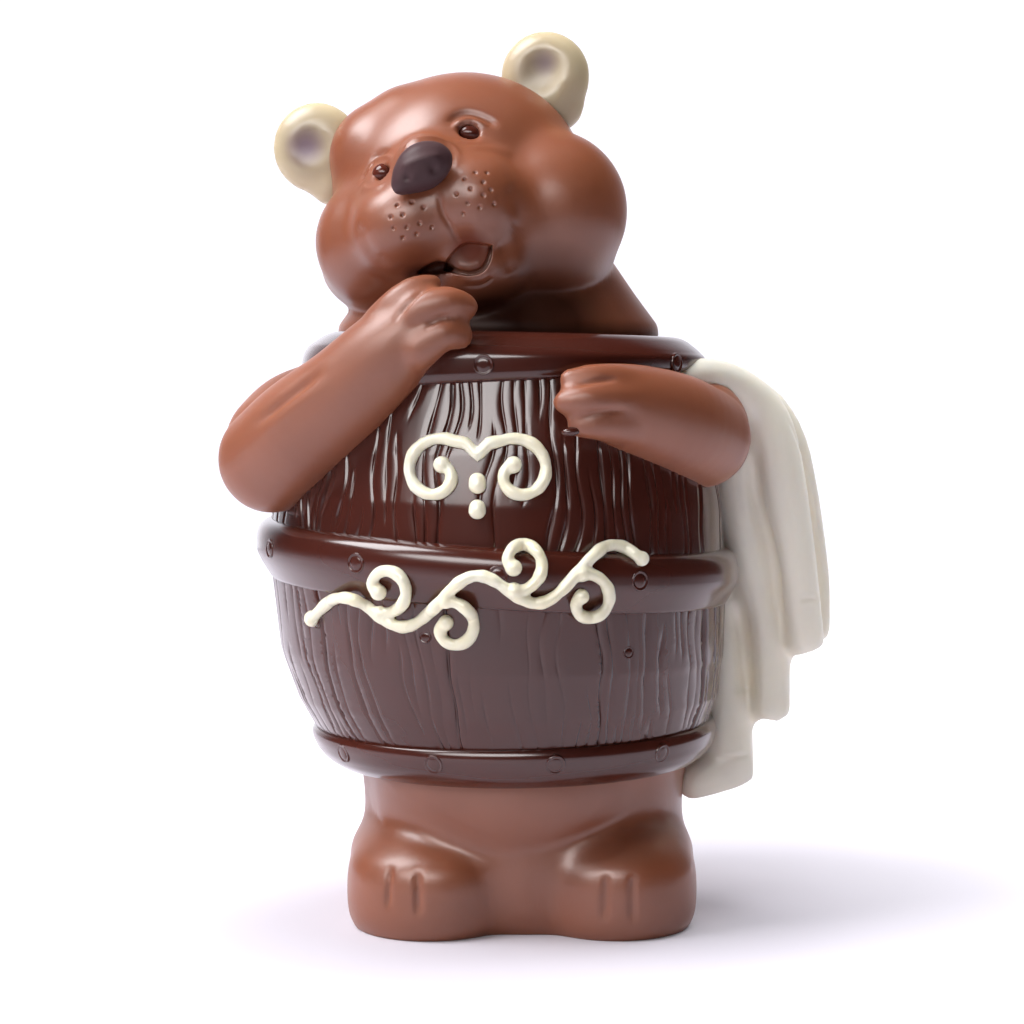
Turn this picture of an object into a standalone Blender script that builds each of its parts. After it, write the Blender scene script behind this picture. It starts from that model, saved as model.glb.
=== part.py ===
"""Moulded chocolate bear, 200 mm tall: a milk chocolate bear that wears a dark chocolate barrel,
with a white chocolate towel over one arm. Metres, +Z up, the bear faces -Y, origin under its feet."""

import math

import bpy
from mathutils import Euler, Matrix, Vector

MM = 0.001

# Driving sizes, in millimetres
BARREL_WALL = 4.0
BARREL_SIDES = 36
SEAT_GAP = 0.6  # how far a seat is cut back from the piece that sits in it
PIPE_RADIUS = 1.35
PIPE_TRIANGLES = 1300
HEAD_TURN = (-8, -22, -14)  # degrees: the face looks up, tips over and turns aside

# The barrel's outside, bottom to top, as (radius, height): hoop, staves, hoop, staves, collar
BARREL_OUTSIDE = [
    (38.6, 33.4),
    (43.4, 33.8),
    (45.6, 36.2),
    (46.3, 41.4),
    (45.0, 42.6),
    (48.1, 49.0),
    (50.6, 59.0),
    (51.7, 72.6),
    (54.1, 73.8),
    (54.9, 79.2),
    (54.1, 84.6),
    (51.6, 85.8),
    (50.9, 94.0),
    (48.8, 105.0),
    (44.6, 119.6),
    (46.0, 120.8),
    (46.0, 124.6),
    (44.6, 127.0),
    (42.0, 129.4),
    (38.6, 131.4),
]

# Where the barrel's axis is at a height, and how much its level lines rise to the right
BARREL_AXIS = [(30, -0.2), (38, -1.1), (49, -2.9), (57, -4.2), (80, -5.4), (120, -4.6), (135, -4.2)]
BARREL_SLOPE = [
    (30, 0.01),
    (44, 0.02),
    (58, -0.02),
    (73, -0.06),
    (86, -0.066),
    (104, 0.0),
    (120, 0.045),
    (127, -0.03),
    (132, -0.05),
]


def mm(x, y, z):
    """A point given in millimetres."""
    return Vector((x, y, z)) * MM


def between(table, at):
    """The table's second value where its first is at, by straight runs."""
    for (a0, b0), (a1, b1) in zip(table, table[1:]):
        if a0 <= at <= a1:
            return b0 + (b1 - b0) * (at - a0) / (a1 - a0)
    return table[0][1] if at < table[0][0] else table[-1][1]


def clear_scene():
    for obj in list(bpy.data.objects):
        bpy.data.objects.remove(obj, do_unlink=True)


def new_collection(name):
    collection = bpy.data.collections.new(name)
    bpy.context.scene.collection.children.link(collection)
    return collection


def chocolate(name, colour, roughness):
    """A plain chocolate finish. The colour is linear RGB."""
    material = bpy.data.materials.new(name)
    material.use_nodes = True
    shader = material.node_tree.nodes["Principled BSDF"]
    shader.inputs["Base Color"].default_value = (*colour, 1.0)
    shader.inputs["Roughness"].default_value = roughness
    shader.inputs["Metallic"].default_value = 0.0
    return material


def finish(obj, name, collection, material):
    """Names a part, gives it its material and puts it in the collection of parts."""
    obj.name = name
    obj.data.name = name
    obj.data.materials.clear()
    obj.data.materials.append(material)
    for old in list(obj.users_collection):
        old.objects.unlink(obj)
    collection.objects.link(obj)
    return obj


def only(obj):
    """Makes obj the one selected and active object."""
    bpy.ops.object.select_all(action="DESELECT")
    obj.select_set(True)
    bpy.context.view_layer.objects.active = obj
    return obj


def apply_modifiers(obj):
    only(obj)
    for modifier in list(obj.modifiers):
        bpy.ops.object.modifier_apply(modifier=modifier.name)
    return obj


def lump(centre, radii, turn=(0, 0, 0), segments=32, rings=18):
    """An ellipsoid of clay. centre and radii in millimetres, turn in degrees."""
    bpy.ops.mesh.primitive_uv_sphere_add(segments=segments, ring_count=rings, radius=1.0)
    obj = bpy.context.object
    turned = Euler([math.radians(angle) for angle in turn]).to_matrix().to_4x4()
    size = Matrix.Diagonal((*mm(*radii), 1.0))
    obj.data.transform(Matrix.Translation(mm(*centre)) @ turned @ size)
    return obj


def tube(points, radii, resolution):
    """A closed tube through points, with a radius at each. All in millimetres."""
    data = bpy.data.curves.new("tube", "CURVE")
    data.dimensions = "3D"
    data.bevel_depth = MM
    data.bevel_resolution = resolution
    data.use_fill_caps = True
    spline = data.splines.new("POLY")
    spline.points.add(len(points) - 1)
    for spot, place, radius in zip(spline.points, points, radii):
        spot.co = (*mm(*place), 1.0)
        spot.radius = radius
    curve = bpy.data.objects.new("tube", data)
    bpy.context.scene.collection.objects.link(curve)
    graph = bpy.context.evaluated_depsgraph_get()
    mesh = bpy.data.meshes.new_from_object(curve.evaluated_get(graph))
    bpy.data.objects.remove(curve, do_unlink=True)
    obj = bpy.data.objects.new("tube", mesh)
    bpy.context.scene.collection.objects.link(obj)
    return weld(obj)


def weld(obj):
    """Joins the points that meet, and turns the faces outwards."""
    only(obj)
    bpy.ops.object.mode_set(mode="EDIT")
    bpy.ops.mesh.select_all(action="SELECT")
    bpy.ops.mesh.remove_doubles(threshold=0.00001)
    bpy.ops.mesh.normals_make_consistent(inside=False)
    bpy.ops.object.mode_set(mode="OBJECT")
    return obj


def limb(points, radii):
    """A round limb through points, with round ends and joints."""
    pieces = [tube(points, radii, 4)]
    for place, radius in zip(points, radii):
        pieces.append(lump(place, (radius,) * 3, segments=24, rings=14))
    return join(pieces)


def join(pieces):
    bpy.ops.object.select_all(action="DESELECT")
    for piece in pieces:
        piece.select_set(True)
    bpy.context.view_layer.objects.active = pieces[0]
    if len(pieces) > 1:
        bpy.ops.object.join()
    return bpy.context.object


def knead(obj, voxel, smoothing):
    """Melts the overlapping lumps of obj into one skin, and softens the creases between them."""
    remesh = obj.modifiers.new("melt", "REMESH")
    remesh.mode = "VOXEL"
    remesh.voxel_size = voxel * MM
    if smoothing:
        soften = obj.modifiers.new("soften", "SMOOTH")
        soften.factor = 0.5
        soften.iterations = smoothing
    return apply_modifiers(obj)


def thin_out(obj, triangles):
    """Reduces obj to about that many triangles."""
    only(obj)
    bpy.ops.object.mode_set(mode="EDIT")
    bpy.ops.mesh.select_all(action="SELECT")
    bpy.ops.mesh.quads_convert_to_tris()
    bpy.ops.object.mode_set(mode="OBJECT")
    decimate = obj.modifiers.new("thin out", "DECIMATE")
    decimate.ratio = min(1.0, triangles / len(obj.data.polygons))
    return apply_modifiers(obj)


def combine(obj, other, operation):
    """A Boolean of obj with other, applied. other is used up."""
    boolean = obj.modifiers.new(operation.lower(), "BOOLEAN")
    boolean.operation = operation
    boolean.solver = "EXACT"
    boolean.object = other
    apply_modifiers(obj)
    bpy.data.objects.remove(other, do_unlink=True)
    return obj


def copy_of(obj):
    copy = bpy.data.objects.new(obj.name + "_copy", obj.data.copy())
    bpy.context.scene.collection.objects.link(copy)
    return copy


def seat_for(obj, triangles, cutters, gap=SEAT_GAP):
    """A cutter that is a little larger than obj all round."""
    cutter = copy_of(obj)
    cutter.name = obj.name + "_seat"
    swell = cutter.modifiers.new("swell", "DISPLACE")
    swell.strength = gap * MM
    swell.mid_level = 0.0
    knead(cutter, voxel=1.0, smoothing=0)
    thin_out(cutter, triangles)
    cutter.hide_render = True
    cutter.display_type = "WIRE"
    for old in list(cutter.users_collection):
        old.objects.unlink(cutter)
    cutters.objects.link(cutter)
    return cutter


def seat_in(obj, cutter):
    """Cuts obj back from its neighbour, with a live Boolean."""
    boolean = obj.modifiers.new("seat in " + cutter.name, "BOOLEAN")
    boolean.operation = "DIFFERENCE"
    boolean.solver = "EXACT"
    boolean.object = cutter


def on_skin(obj, x, z):
    """The point of obj's front that is at x and z. Millimetres."""
    hit, place, _, _ = obj.ray_cast(mm(x, -200, z), Vector((0, 1, 0)))
    if not hit:
        raise ValueError(f"nothing of {obj.name} is at x {x}, z {z}")
    return place / MM


def along_skin(obj, line, lift):
    """Points on obj's front along a line of (x, z), lifted towards the front by that much."""
    return [tuple(on_skin(obj, x, z) + Vector((0, -lift, 0))) for x, z in line]


def fine_line(line, step=1.5):
    """The same line with a point at least every step."""
    points = [line[0]]
    for (x0, z0), (x1, z1) in zip(line, line[1:]):
        count = max(1, math.ceil(math.hypot(x1 - x0, z1 - z0) / step))
        points += [(x0 + (x1 - x0) * i / count, z0 + (z1 - z0) * i / count) for i in range(1, count + 1)]
    return points


def groove(obj, line, radius, depth):
    """A cutter for a tapered groove in obj's front, along a line of (x, z)."""
    spots = along_skin(obj, fine_line(line), radius - depth)
    radii = [radius * (0.35 if i in (0, len(spots) - 1) else 1.0) for i in range(len(spots))]
    return tube(spots, radii, 2)


# The bear

HEAD = [
    # the crown, its left corner, the jaws and the jowl below the right cheek
    ((-14.0, 2.0, 162.5), (29.5, 29.0, 27.0), HEAD_TURN),
    ((-30.0, -1.0, 170.0), (13.5, 15.0, 13.5), HEAD_TURN),
    ((-11.5, -3.0, 152.5), (34.8, 27.5, 18.5), (0, -14, 0)),
    ((3.0, -8.0, 148.5), (18.8, 19.0, 15.5), HEAD_TURN),
    # the cheeks
    ((-31.5, -11.0, 150.5), (15.4, 15.5, 15.4), HEAD_TURN),
    ((6.5, -10.5, 158.0), (18.2, 18.0, 18.0), HEAD_TURN),
    # the muzzle, its two pads and the chin
    ((-18.5, -19.0, 156.5), (20.5, 17.0, 17.0), HEAD_TURN),
    ((-24.6, -25.0, 153.5), (13.0, 12.6, 11.5), HEAD_TURN),
    ((-9.8, -26.0, 158.2), (11.0, 12.6, 11.8), HEAD_TURN),
    ((-9.5, -22.5, 143.5), (12.5, 13.0, 9.0), HEAD_TURN),
    # the soft step from the muzzle to the right cheek, and the bridge behind the nose
    ((-1.5, -17.5, 156.5), (11.0, 13.0, 14.5), HEAD_TURN),
    ((-20.5, -28.0, 166.5), (8.0, 9.5, 8.5), HEAD_TURN),
]

NECK = [(34.0, 118.0), (37.0, 126.0), (37.3, 131.5), (31.3, 138.3), (25.6, 147.0), (20.0, 155.0)]

LEGS = [
    # the belly below the barrel, the thighs and the seat
    ((-0.2, -1.0, 33.0), (38.0, 38.0, 14.0), (0, 0, 0)),
    ((-20.5, -9.0, 16.5), (18.9, 30.0, 12.5), (0, 0, 0)),
    ((21.5, -9.0, 16.5), (18.5, 30.0, 12.5), (0, 0, 0)),
    ((0.0, 8.0, 16.0), (35.0, 29.0, 15.0), (0, 0, 0)),
]

# Each limb: its points and its radius at each
RAISED_ARM = [
    # the upper arm
    (
        [(-44.5, 2, 115), (-50.5, -6, 110.8), (-53.8, -12, 106)],
        [10, 11.5, 12.4],
    ),
    # the forearm and the back of the hand
    (
        [(-54.5, -22, 103), (-47, -29, 109.5), (-37.5, -35.5, 117), (-29, -40, 125), (-22.5, -42.5, 130.5)],
        [12, 11.8, 10.6, 9.4, 9],
    ),
    # the fingers
    (
        [(-26, -42.5, 134), (-22, -44, 138.6), (-15.5, -43.5, 139.4), (-11.5, -42, 138.2)],
        [4.4, 4.4, 4, 3.4],
    ),
    (
        [(-22, -45.5, 131.5), (-16.5, -46.5, 135), (-12.5, -44.5, 134.6)],
        [4.6, 4.4, 3.7],
    ),
    (
        [(-20, -46, 127), (-15, -46.5, 130), (-12, -44.5, 129.4)],
        [4.6, 4.4, 3.7],
    ),
]

RESTING_ARM = [
    # the upper arm
    (
        [(37, 4, 115), (40.5, -6, 111.6), (41, -14, 109)],
        [8, 9.6, 10.8],
    ),
    # the forearm and the back of the hand
    (
        [(40.6, -19, 107.4), (34, -28.5, 110.6), (24, -37.5, 113.6), (16.5, -42.5, 115.4)],
        [11.2, 11.2, 9.8, 8],
    ),
    # the fingers
    (
        [(17, -45.5, 119.6), (12, -47.6, 120), (9.5, -47.4, 119.2)],
        [3.6, 3.1, 2.6],
    ),
    (
        [(16, -48, 115.6), (11, -50, 115.6), (8, -49.6, 115)],
        [3.8, 3.2, 2.7],
    ),
    (
        [(18, -47.4, 111.4), (13.4, -49.4, 111), (11, -49.2, 110.4)],
        [3.6, 3, 2.5],
    ),
]

EYES = {"eye_left": (-30.8, 165.3), "eye_right": (-11.7, 174.3)}
NOSE = (-20.9, 165.0)
SPLIT = [(-18.0, 160.0), (-16.4, 155.6), (-14.6, 151.9), (-13.0, 149.4), (-12.4, 148.4)]
MOUTH = [
    (-26.2, 140.9),
    (-21.5, 143.0),
    (-17.7, 145.1),
    (-14.6, 147.4),
    (-10.9, 148.9),
    (-6.1, 148.7),
    (-3.0, 150.0),
]
TONGUE = ((-10.6, 146.2), (4.4, 3.2, 2.1))
LOWER_LIP = [(-17.6, 142.2), (-12.7, 140.9), (-7.6, 142.4), (-4.4, 146.0)]
FIST_CREASES = [
    [(-26.3, 132.6), (-24.4, 135.9), (-21.1, 138.0), (-17.0, 137.6), (-12.6, 136.4)],
    [(-21.0, 130.0), (-18.1, 132.2), (-14.2, 133.2), (-11.6, 132.4)],
]
HAND_CREASES = [
    [(9.0, 117.6), (14.0, 117.8), (20.0, 118.8)],
    [(10.0, 113.2), (16.0, 113.2), (22.4, 114.0)],
]
TOES = [(-28.6, 16.6), (-22.0, 16.6), (17.2, 15.6), (24.4, 13.4)]

# Each ear: its centre, its half sizes and its turn
EARS = {
    "ear_left": ((-47.6, 1.0, 172.6), (9.6, 5.6, 11.8), (0, -16, -26)),
    "ear_right": ((5.6, 3.0, 189.6), (10.6, 5.8, 10.4), (0, -20, -8)),
}


def foot(x, y, radius, height):
    """A stubby foot: an upright post with a rounded top, standing on the ground."""
    bpy.ops.mesh.primitive_cylinder_add(vertices=40, radius=radius * MM, depth=(height + 8) * MM)
    post = bpy.context.object
    bevel = post.modifiers.new("round top", "BEVEL")
    bevel.width = 7 * MM
    bevel.segments = 5
    bevel.limit_method = "ANGLE"
    apply_modifiers(post)
    post.data.transform(Matrix.Translation(mm(x, y, (height - 8) / 2)))
    return post


def sculpt_head():
    """The head and neck, with eye sockets, lids, the split muzzle, mouth, tongue and lower lip."""
    neck = turned(NECK, 40)
    neck.data.transform(Matrix.Translation(mm(-4.3, 1, 0)))
    head = join([neck, *[lump(*values) for values in HEAD]])
    head.name = "head"
    knead(head, voxel=1.2, smoothing=24)

    additions = []
    for x, z in EYES.values():
        additions.append(eyelid(head, x, z))
    lip = along_skin(head, fine_line(LOWER_LIP, 2.5), -0.5)
    additions.append(limb(lip, [1.4] * len(lip)))
    (tongue_x, tongue_z), tongue_size = TONGUE
    depth = on_skin(head, tongue_x, tongue_z - 3).y
    additions.append(lump((tongue_x, depth + 1.0, tongue_z), tongue_size, HEAD_TURN))

    cutters = [groove(head, SPLIT, 1.5, 0.9), groove(head, MOUTH, 2.4, 2.8)]
    for x, z in EYES.values():
        depth = on_skin(head, x, z).y
        cutters.append(lump((x, depth + 0.4, z), (4.0, 3.0, 3.1), HEAD_TURN, segments=20, rings=12))
    combine(head, knead(join(cutters), voxel=0.35, smoothing=1), "DIFFERENCE")
    head = join([head, *additions])
    knead(head, voxel=0.6, smoothing=3)
    return thin_out(head, 3200)


def eyelid(head, x, z):
    """The ridge over an eye, as a limb that follows the skin."""
    spots = []
    for degrees in (190, 165, 140, 115, 90, 65, 40):
        angle = math.radians(degrees)
        u = x + 4.7 * math.cos(angle)
        v = z + 0.2 + 3.8 * math.sin(angle)
        spots.append(tuple(on_skin(head, u, v)))
    return limb(spots, [0.8, 1.1, 1.3, 1.4, 1.3, 1.1, 0.8])


def sculpt_arm(limbs, creases):
    arm = join([limb(points, radii) for points, radii in limbs])
    arm.name = "arm"
    knead(arm, voxel=1.0, smoothing=6)
    cutters = join([groove(arm, line, 1.5, 1.4) for line in creases])
    combine(arm, knead(cutters, voxel=0.35, smoothing=1), "DIFFERENCE")
    knead(arm, voxel=0.7, smoothing=2)
    return thin_out(arm, 900)


def sculpt_legs():
    pieces = [lump(*values) for values in LEGS]
    pieces += [foot(-19.5, -21, 18.9, 19), foot(20.8, -21, 18.5, 19)]
    pieces += [foot(-17.5, 8, 20, 18), foot(18.5, 8, 20, 18), foot(0.5, -9.5, 22.5, 17)]
    legs = join(pieces)
    legs.name = "legs"
    knead(legs, voxel=1.2, smoothing=14)
    cutters = join([groove(legs, [(x, z), (x - 0.4, z - 11.5)], 1.4, 0.9) for x, z in TOES])
    combine(legs, knead(cutters, voxel=0.35, smoothing=1), "DIFFERENCE")
    knead(legs, voxel=0.9, smoothing=1)
    thin_out(legs, 900)
    bpy.ops.mesh.primitive_cube_add(size=0.3)
    ground = bpy.context.object
    ground.data.transform(Matrix.Translation(mm(0, 0, -150)))
    return combine(legs, ground, "DIFFERENCE")


def build_bear(parts, material):
    trunk = [(between(STAVES, height) - BARREL_WALL - SEAT_GAP, height) for height in range(30, 134, 9)]
    bear = lean(turned(trunk, 32))
    combine(bear, sculpt_head(), "UNION")
    combine(bear, sculpt_legs(), "UNION")
    combine(bear, sculpt_arm(RAISED_ARM, FIST_CREASES), "UNION")
    combine(bear, sculpt_arm(RESTING_ARM, HAND_CREASES), "UNION")
    return finish(bear, "bear", parts, material)


# The barrel

# The radius of the staves at a height, without the hoops
STAVES = [
    (33.4, 38.6),
    (42.6, 45.0),
    (49.0, 48.1),
    (59.0, 50.6),
    (73.0, 51.7),
    (85.8, 51.6),
    (105.0, 48.8),
    (119.6, 44.6),
    (132.2, 42.4),
]


def turned(profile, sides):
    """A closed turned solid from a profile of (radius, height) in millimetres that runs bottom to top."""
    outline = [(0.0, profile[0][1])] + list(profile) + [(0.0, profile[-1][1])]
    mesh = bpy.data.meshes.new("turned")
    points = [mm(radius, 0, height) for radius, height in outline]
    edges = [(i, i + 1) for i in range(len(points) - 1)]
    mesh.from_pydata(points, edges, [])
    obj = bpy.data.objects.new("turned", mesh)
    bpy.context.scene.collection.objects.link(obj)
    screw = obj.modifiers.new("turn", "SCREW")
    screw.steps = sides
    screw.render_steps = sides
    screw.use_merge_vertices = True
    screw.merge_threshold = 0.00005
    return weld(apply_modifiers(obj))


def lean(obj):
    """Shifts and slopes a straight turned piece as the barrel's axis and level lines go."""
    for vertex in obj.data.vertices:
        x, height = vertex.co.x, vertex.co.z / MM
        vertex.co.z += between(BARREL_SLOPE, height) * x
        vertex.co.x = x + between(BARREL_AXIS, height) * MM
    return obj


def on_barrel(x, z):
    """The point of the barrel's front at x and z, with hoop edges rounded off. Millimetres."""
    across = x - between(BARREL_AXIS, z)
    level = z - between(BARREL_SLOPE, z) * across
    outline = [(height, radius) for radius, height in BARREL_OUTSIDE]
    radius = max(between(outline, level + step) for step in (-1.2, 0, 1.2))
    return Vector((x, -math.sqrt(radius**2 - across**2), z))


def curl(x, z, start, end, first, turns, steps):
    """A flat spiral of (x, z) about a centre, from one radius to another."""
    line = []
    for i in range(steps + 1):
        part = i / steps
        radius = start + (end - start) * part
        angle = math.radians(first + 360 * turns * part)
        line.append((x + radius * math.cos(angle), z + radius * math.sin(angle)))
    return line


def ornament():
    """The piped white scrolls on the barrel's front, as lines of (x, z) with a bead at each end."""
    left = curl(-17.6, 101.0, 2.0, 7.6, 60, -1.0, 12)
    right = curl(-0.8, 101.0, 7.6, 2.0, 120, -1.0, 12)
    upper = [left + [(-11.6, 107.2), (-9.2, 104.6), (-6.8, 107.2)] + right]
    upper += [[(-9.2, 99.4), (-9.2, 98.6)], [(-9.2, 94.0), (-9.2, 93.4)]]
    vine = []
    for i in range(31):
        part = i / 30
        vine.append((-45.0 + 70.0 * part, 69.0 + 14.0 * part + 4.2 * math.sin(part * 5 * math.pi)))
    lower = [vine]
    for i, side in enumerate((1, -1, 1, -1)):
        part = (i + 1) / 5
        x = -45.0 + 70.0 * part
        z = 69.0 + 14.0 * part
        first = -100 if side > 0 else 100
        lower.append(curl(x + 2.4, z + side * 5.6, 6.0, 1.6, first, side * 0.9, 9))
    return upper + lower


def build_barrel(parts, material, bear_seat):
    barrel = lean(turned(BARREL_OUTSIDE, BARREL_SIDES))
    piping = []
    for line in ornament():
        spots = [tuple(on_barrel(x, z) + Vector((0, -0.5, 0))) for x, z in line]
        piping.append(tube(spots, [PIPE_RADIUS] * len(spots), 3))
        piping += [lump(end, (1.7,) * 3, segments=16, rings=10) for end in (spots[0], spots[-1])]
    piping = thin_out(knead(join(piping), voxel=0.5, smoothing=1), PIPE_TRIANGLES)
    combine(barrel, piping, "UNION")
    seat_in(barrel, bear_seat)
    return finish(barrel, "barrel", parts, material)


# The small parts

# Each fold: its points and its radius at each
TOWEL_FOLDS = [
    # the start of the front fold, over the arm
    (
        [(36, 2, 121.4), (44, 1, 119.8), (51.5, 0, 116.4), (57, 0, 109)],
        [4, 5.4, 6.8, 7.4],
    ),
    # the rest of it, hanging down
    (
        [(57, 0, 109), (60.5, 0, 98), (63, 0, 84), (65.4, 0, 72), (66.8, 0, 64)],
        [7.4, 7.6, 7.2, 6.4, 5],
    ),
    # the edge band to its right
    (
        [(55, 8, 118), (62, 9, 106), (66.4, 9, 92), (68.8, 8, 78), (69.6, 7, 66)],
        [5, 5, 4.6, 3.8, 2.6],
    ),
    # the middle and the inner folds, each longer than the one before
    (
        [(47, 6, 116), (50, 4, 104), (50, 4, 90), (53, 4, 74), (55.5, 3, 60), (56.8, 2, 48)],
        [7, 7.6, 7, 6.4, 5.6, 5],
    ),
    (
        [(45, 10, 90), (46, 8, 72), (47.5, 6, 56), (47.6, 4, 42), (46.8, 3, 32), (44, 2, 29.5)],
        [6, 6.4, 6.4, 5.6, 5.2, 4.6],
    ),
    # the end that curls in to the belly
    (
        [(48, 2, 31.5), (43, 0, 30), (38, -2, 28.6)],
        [4.6, 4.6, 4],
    ),
]


def build_towel(parts, material, seats):
    towel = join([limb(points, radii) for points, radii in TOWEL_FOLDS])
    knead(towel, voxel=1.2, smoothing=4)
    thin_out(towel, 900)
    for seat in seats:
        seat_in(towel, seat)
    return finish(towel, "towel", parts, material)


def build_ears(parts, material, bear_seat):
    for name, (centre, radii, turn) in EARS.items():
        ear = lump(centre, radii, turn)
        hollow = lump((centre[0], centre[1] - 6.6, centre[2] + 0.5), (7.0, 3.4, 7.4), turn)
        combine(ear, hollow, "DIFFERENCE")
        knead(ear, voxel=0.8, smoothing=6)
        thin_out(ear, 320)
        seat_in(ear, bear_seat)
        finish(ear, name, parts, material)


def build_eyes(parts, material, bear, bear_seat):
    for name, (x, z) in EYES.items():
        depth = on_skin(bear, x, z).y
        eye = lump((x, depth - 0.4, z), (3.0, 2.5, 2.6), HEAD_TURN, segments=12, rings=8)
        seat_in(eye, bear_seat)
        finish(eye, name, parts, material)


def build_nose(parts, material, bear, bear_seat):
    x, z = NOSE
    depth = on_skin(bear, x, z).y
    nose = join(
        [
            lump((x - 0.2, depth - 0.4, z + 1.6), (6.6, 5.0, 4.2), HEAD_TURN),
            lump((x - 3.6, depth - 0.2, z - 1.8), (3.6, 4.0, 3.6), HEAD_TURN),
            lump((x + 2.4, depth - 0.2, z + 0.4), (3.8, 4.2, 3.8), HEAD_TURN),
        ]
    )
    knead(nose, voxel=0.6, smoothing=6)
    thin_out(nose, 260)
    seat_in(nose, bear_seat)
    finish(nose, "nose", parts, material)


def main():
    clear_scene()
    parts = new_collection("chocolate_bear")
    cutters = new_collection("cutters")
    milk = chocolate("milk_chocolate", (0.33, 0.12, 0.06), 0.3)
    dark = chocolate("dark_chocolate", (0.055, 0.018, 0.014), 0.25)
    white = chocolate("white_chocolate", (0.75, 0.68, 0.5), 0.35)
    nose = chocolate("nose_chocolate", (0.08, 0.05, 0.06), 0.3)
    eye = chocolate("eye_chocolate", (0.03, 0.012, 0.01), 0.1)

    bear = build_bear(parts, milk)
    bear_seat = seat_for(bear, 3200, cutters)
    body = lean(turned(BARREL_OUTSIDE, BARREL_SIDES))
    body.name = "barrel_body"
    body_seat = seat_for(body, 1600, cutters)
    build_barrel(parts, dark, bear_seat)
    build_towel(parts, white, [bear_seat, body_seat])
    build_ears(parts, white, bear_seat)
    build_eyes(parts, eye, bear, bear_seat)
    build_nose(parts, nose, bear, bear_seat)
    for leftover in list(bpy.context.scene.collection.objects):
        bpy.data.objects.remove(leftover, do_unlink=True)


if __name__ == "__main__":
    main()
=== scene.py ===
import math
import random

import bpy
import numpy as np
from mathutils import Matrix, Vector


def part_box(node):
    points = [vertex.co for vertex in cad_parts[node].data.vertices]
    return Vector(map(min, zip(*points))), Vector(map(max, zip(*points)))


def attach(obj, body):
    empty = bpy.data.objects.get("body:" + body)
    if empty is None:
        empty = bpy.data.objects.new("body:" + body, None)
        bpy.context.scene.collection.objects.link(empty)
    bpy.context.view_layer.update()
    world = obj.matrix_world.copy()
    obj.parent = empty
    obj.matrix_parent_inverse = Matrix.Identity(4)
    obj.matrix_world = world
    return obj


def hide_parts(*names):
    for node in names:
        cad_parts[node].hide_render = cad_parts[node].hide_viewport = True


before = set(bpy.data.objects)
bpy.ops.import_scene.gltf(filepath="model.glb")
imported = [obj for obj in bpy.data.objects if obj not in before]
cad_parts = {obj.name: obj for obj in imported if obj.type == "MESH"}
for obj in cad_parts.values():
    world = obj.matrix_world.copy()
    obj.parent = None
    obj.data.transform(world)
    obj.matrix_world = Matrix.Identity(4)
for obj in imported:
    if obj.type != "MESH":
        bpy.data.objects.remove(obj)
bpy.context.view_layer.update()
print("frame loaded:", ", ".join(sorted(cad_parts)))


# everyday moves, all sizes in millimetres

def mm(x, y, z):
    return Vector((x, y, z)) * 0.001


def pickOnly(*objs):
    bpy.ops.object.select_all(action="DESELECT")
    for obj in objs:
        obj.select_set(True)
    bpy.context.view_layer.objects.active = objs[0]


def newObject(name, data):
    obj = bpy.data.objects.new(name, data)
    bpy.context.scene.collection.objects.link(obj)
    return obj


def editAll(obj):
    # edit mode with everything selected
    pickOnly(obj)
    bpy.ops.object.mode_set(mode="EDIT")
    bpy.ops.mesh.select_all(action="SELECT")


def applyModifiers(obj):
    pickOnly(obj)
    for modifier in list(obj.modifiers):
        bpy.ops.object.modifier_apply(modifier=modifier.name)
    return obj


def joinAll(pieces):
    pickOnly(*pieces)
    if len(pieces) > 1:
        bpy.ops.object.join()
    return bpy.context.object


def turnOut(obj):
    # merges doubled points and turns every face outwards
    editAll(obj)
    bpy.ops.mesh.remove_doubles(threshold=0.000005)
    bpy.ops.mesh.normals_make_consistent(inside=False)
    bpy.ops.object.mode_set(mode="OBJECT")
    return obj


def addBall(centre, radii, turn=(0, 0, 0), segments=48, rings=28):
    bpy.ops.object.select_all(action="DESELECT")
    bpy.ops.mesh.primitive_uv_sphere_add(
        segments=segments,
        ring_count=rings,
        radius=0.001,
        location=mm(*centre),
        rotation=[math.radians(angle) for angle in turn],
        scale=radii,
    )
    bpy.ops.object.transform_apply(location=True, rotation=True, scale=True)
    return bpy.context.object


def addRope(points, radii, roundness=6):
    # a closed rope of clay along points, with its own radius at each
    data = bpy.data.curves.new("rope", "CURVE")
    data.dimensions = "3D"
    data.bevel_depth = 0.001
    data.bevel_resolution = roundness
    data.use_fill_caps = True
    spline = data.splines.new("POLY")
    spline.points.add(len(points) - 1)
    for spot, place, radius in zip(spline.points, points, radii):
        spot.co = (*mm(*place), 1.0)
        spot.radius = radius
    pickOnly(newObject("rope", data))
    bpy.ops.object.convert(target="MESH")
    return turnOut(bpy.context.object)


def easeValue(p, q, r, s, t):
    # between q and r, on a smooth curve that also heeds p and s
    return 0.5 * (2 * q + (r - p) * t + (2 * p - 5 * q + 4 * r - s) * t**2 + (3 * q - p - 3 * r + s) * t**3)


def easeLine(points, values, perSpan):
    # more points on a smooth curve through the given ones, each with its value
    rows = [(*point, value) for point, value in zip(points, values)]
    rows = [rows[0]] + rows + [rows[-1]]
    eased = []
    for a, b, c, d in zip(rows, rows[1:], rows[2:], rows[3:]):
        for i in range(perSpan):
            eased.append([easeValue(*four, i / perSpan) for four in zip(a, b, c, d)])
    eased.append(rows[-1])
    return [tuple(row[:-1]) for row in eased], [row[-1] for row in eased]


def easeFlat(line, perSpan=3):
    return easeLine(line, [0.0] * len(line), perSpan)[0]


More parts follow.
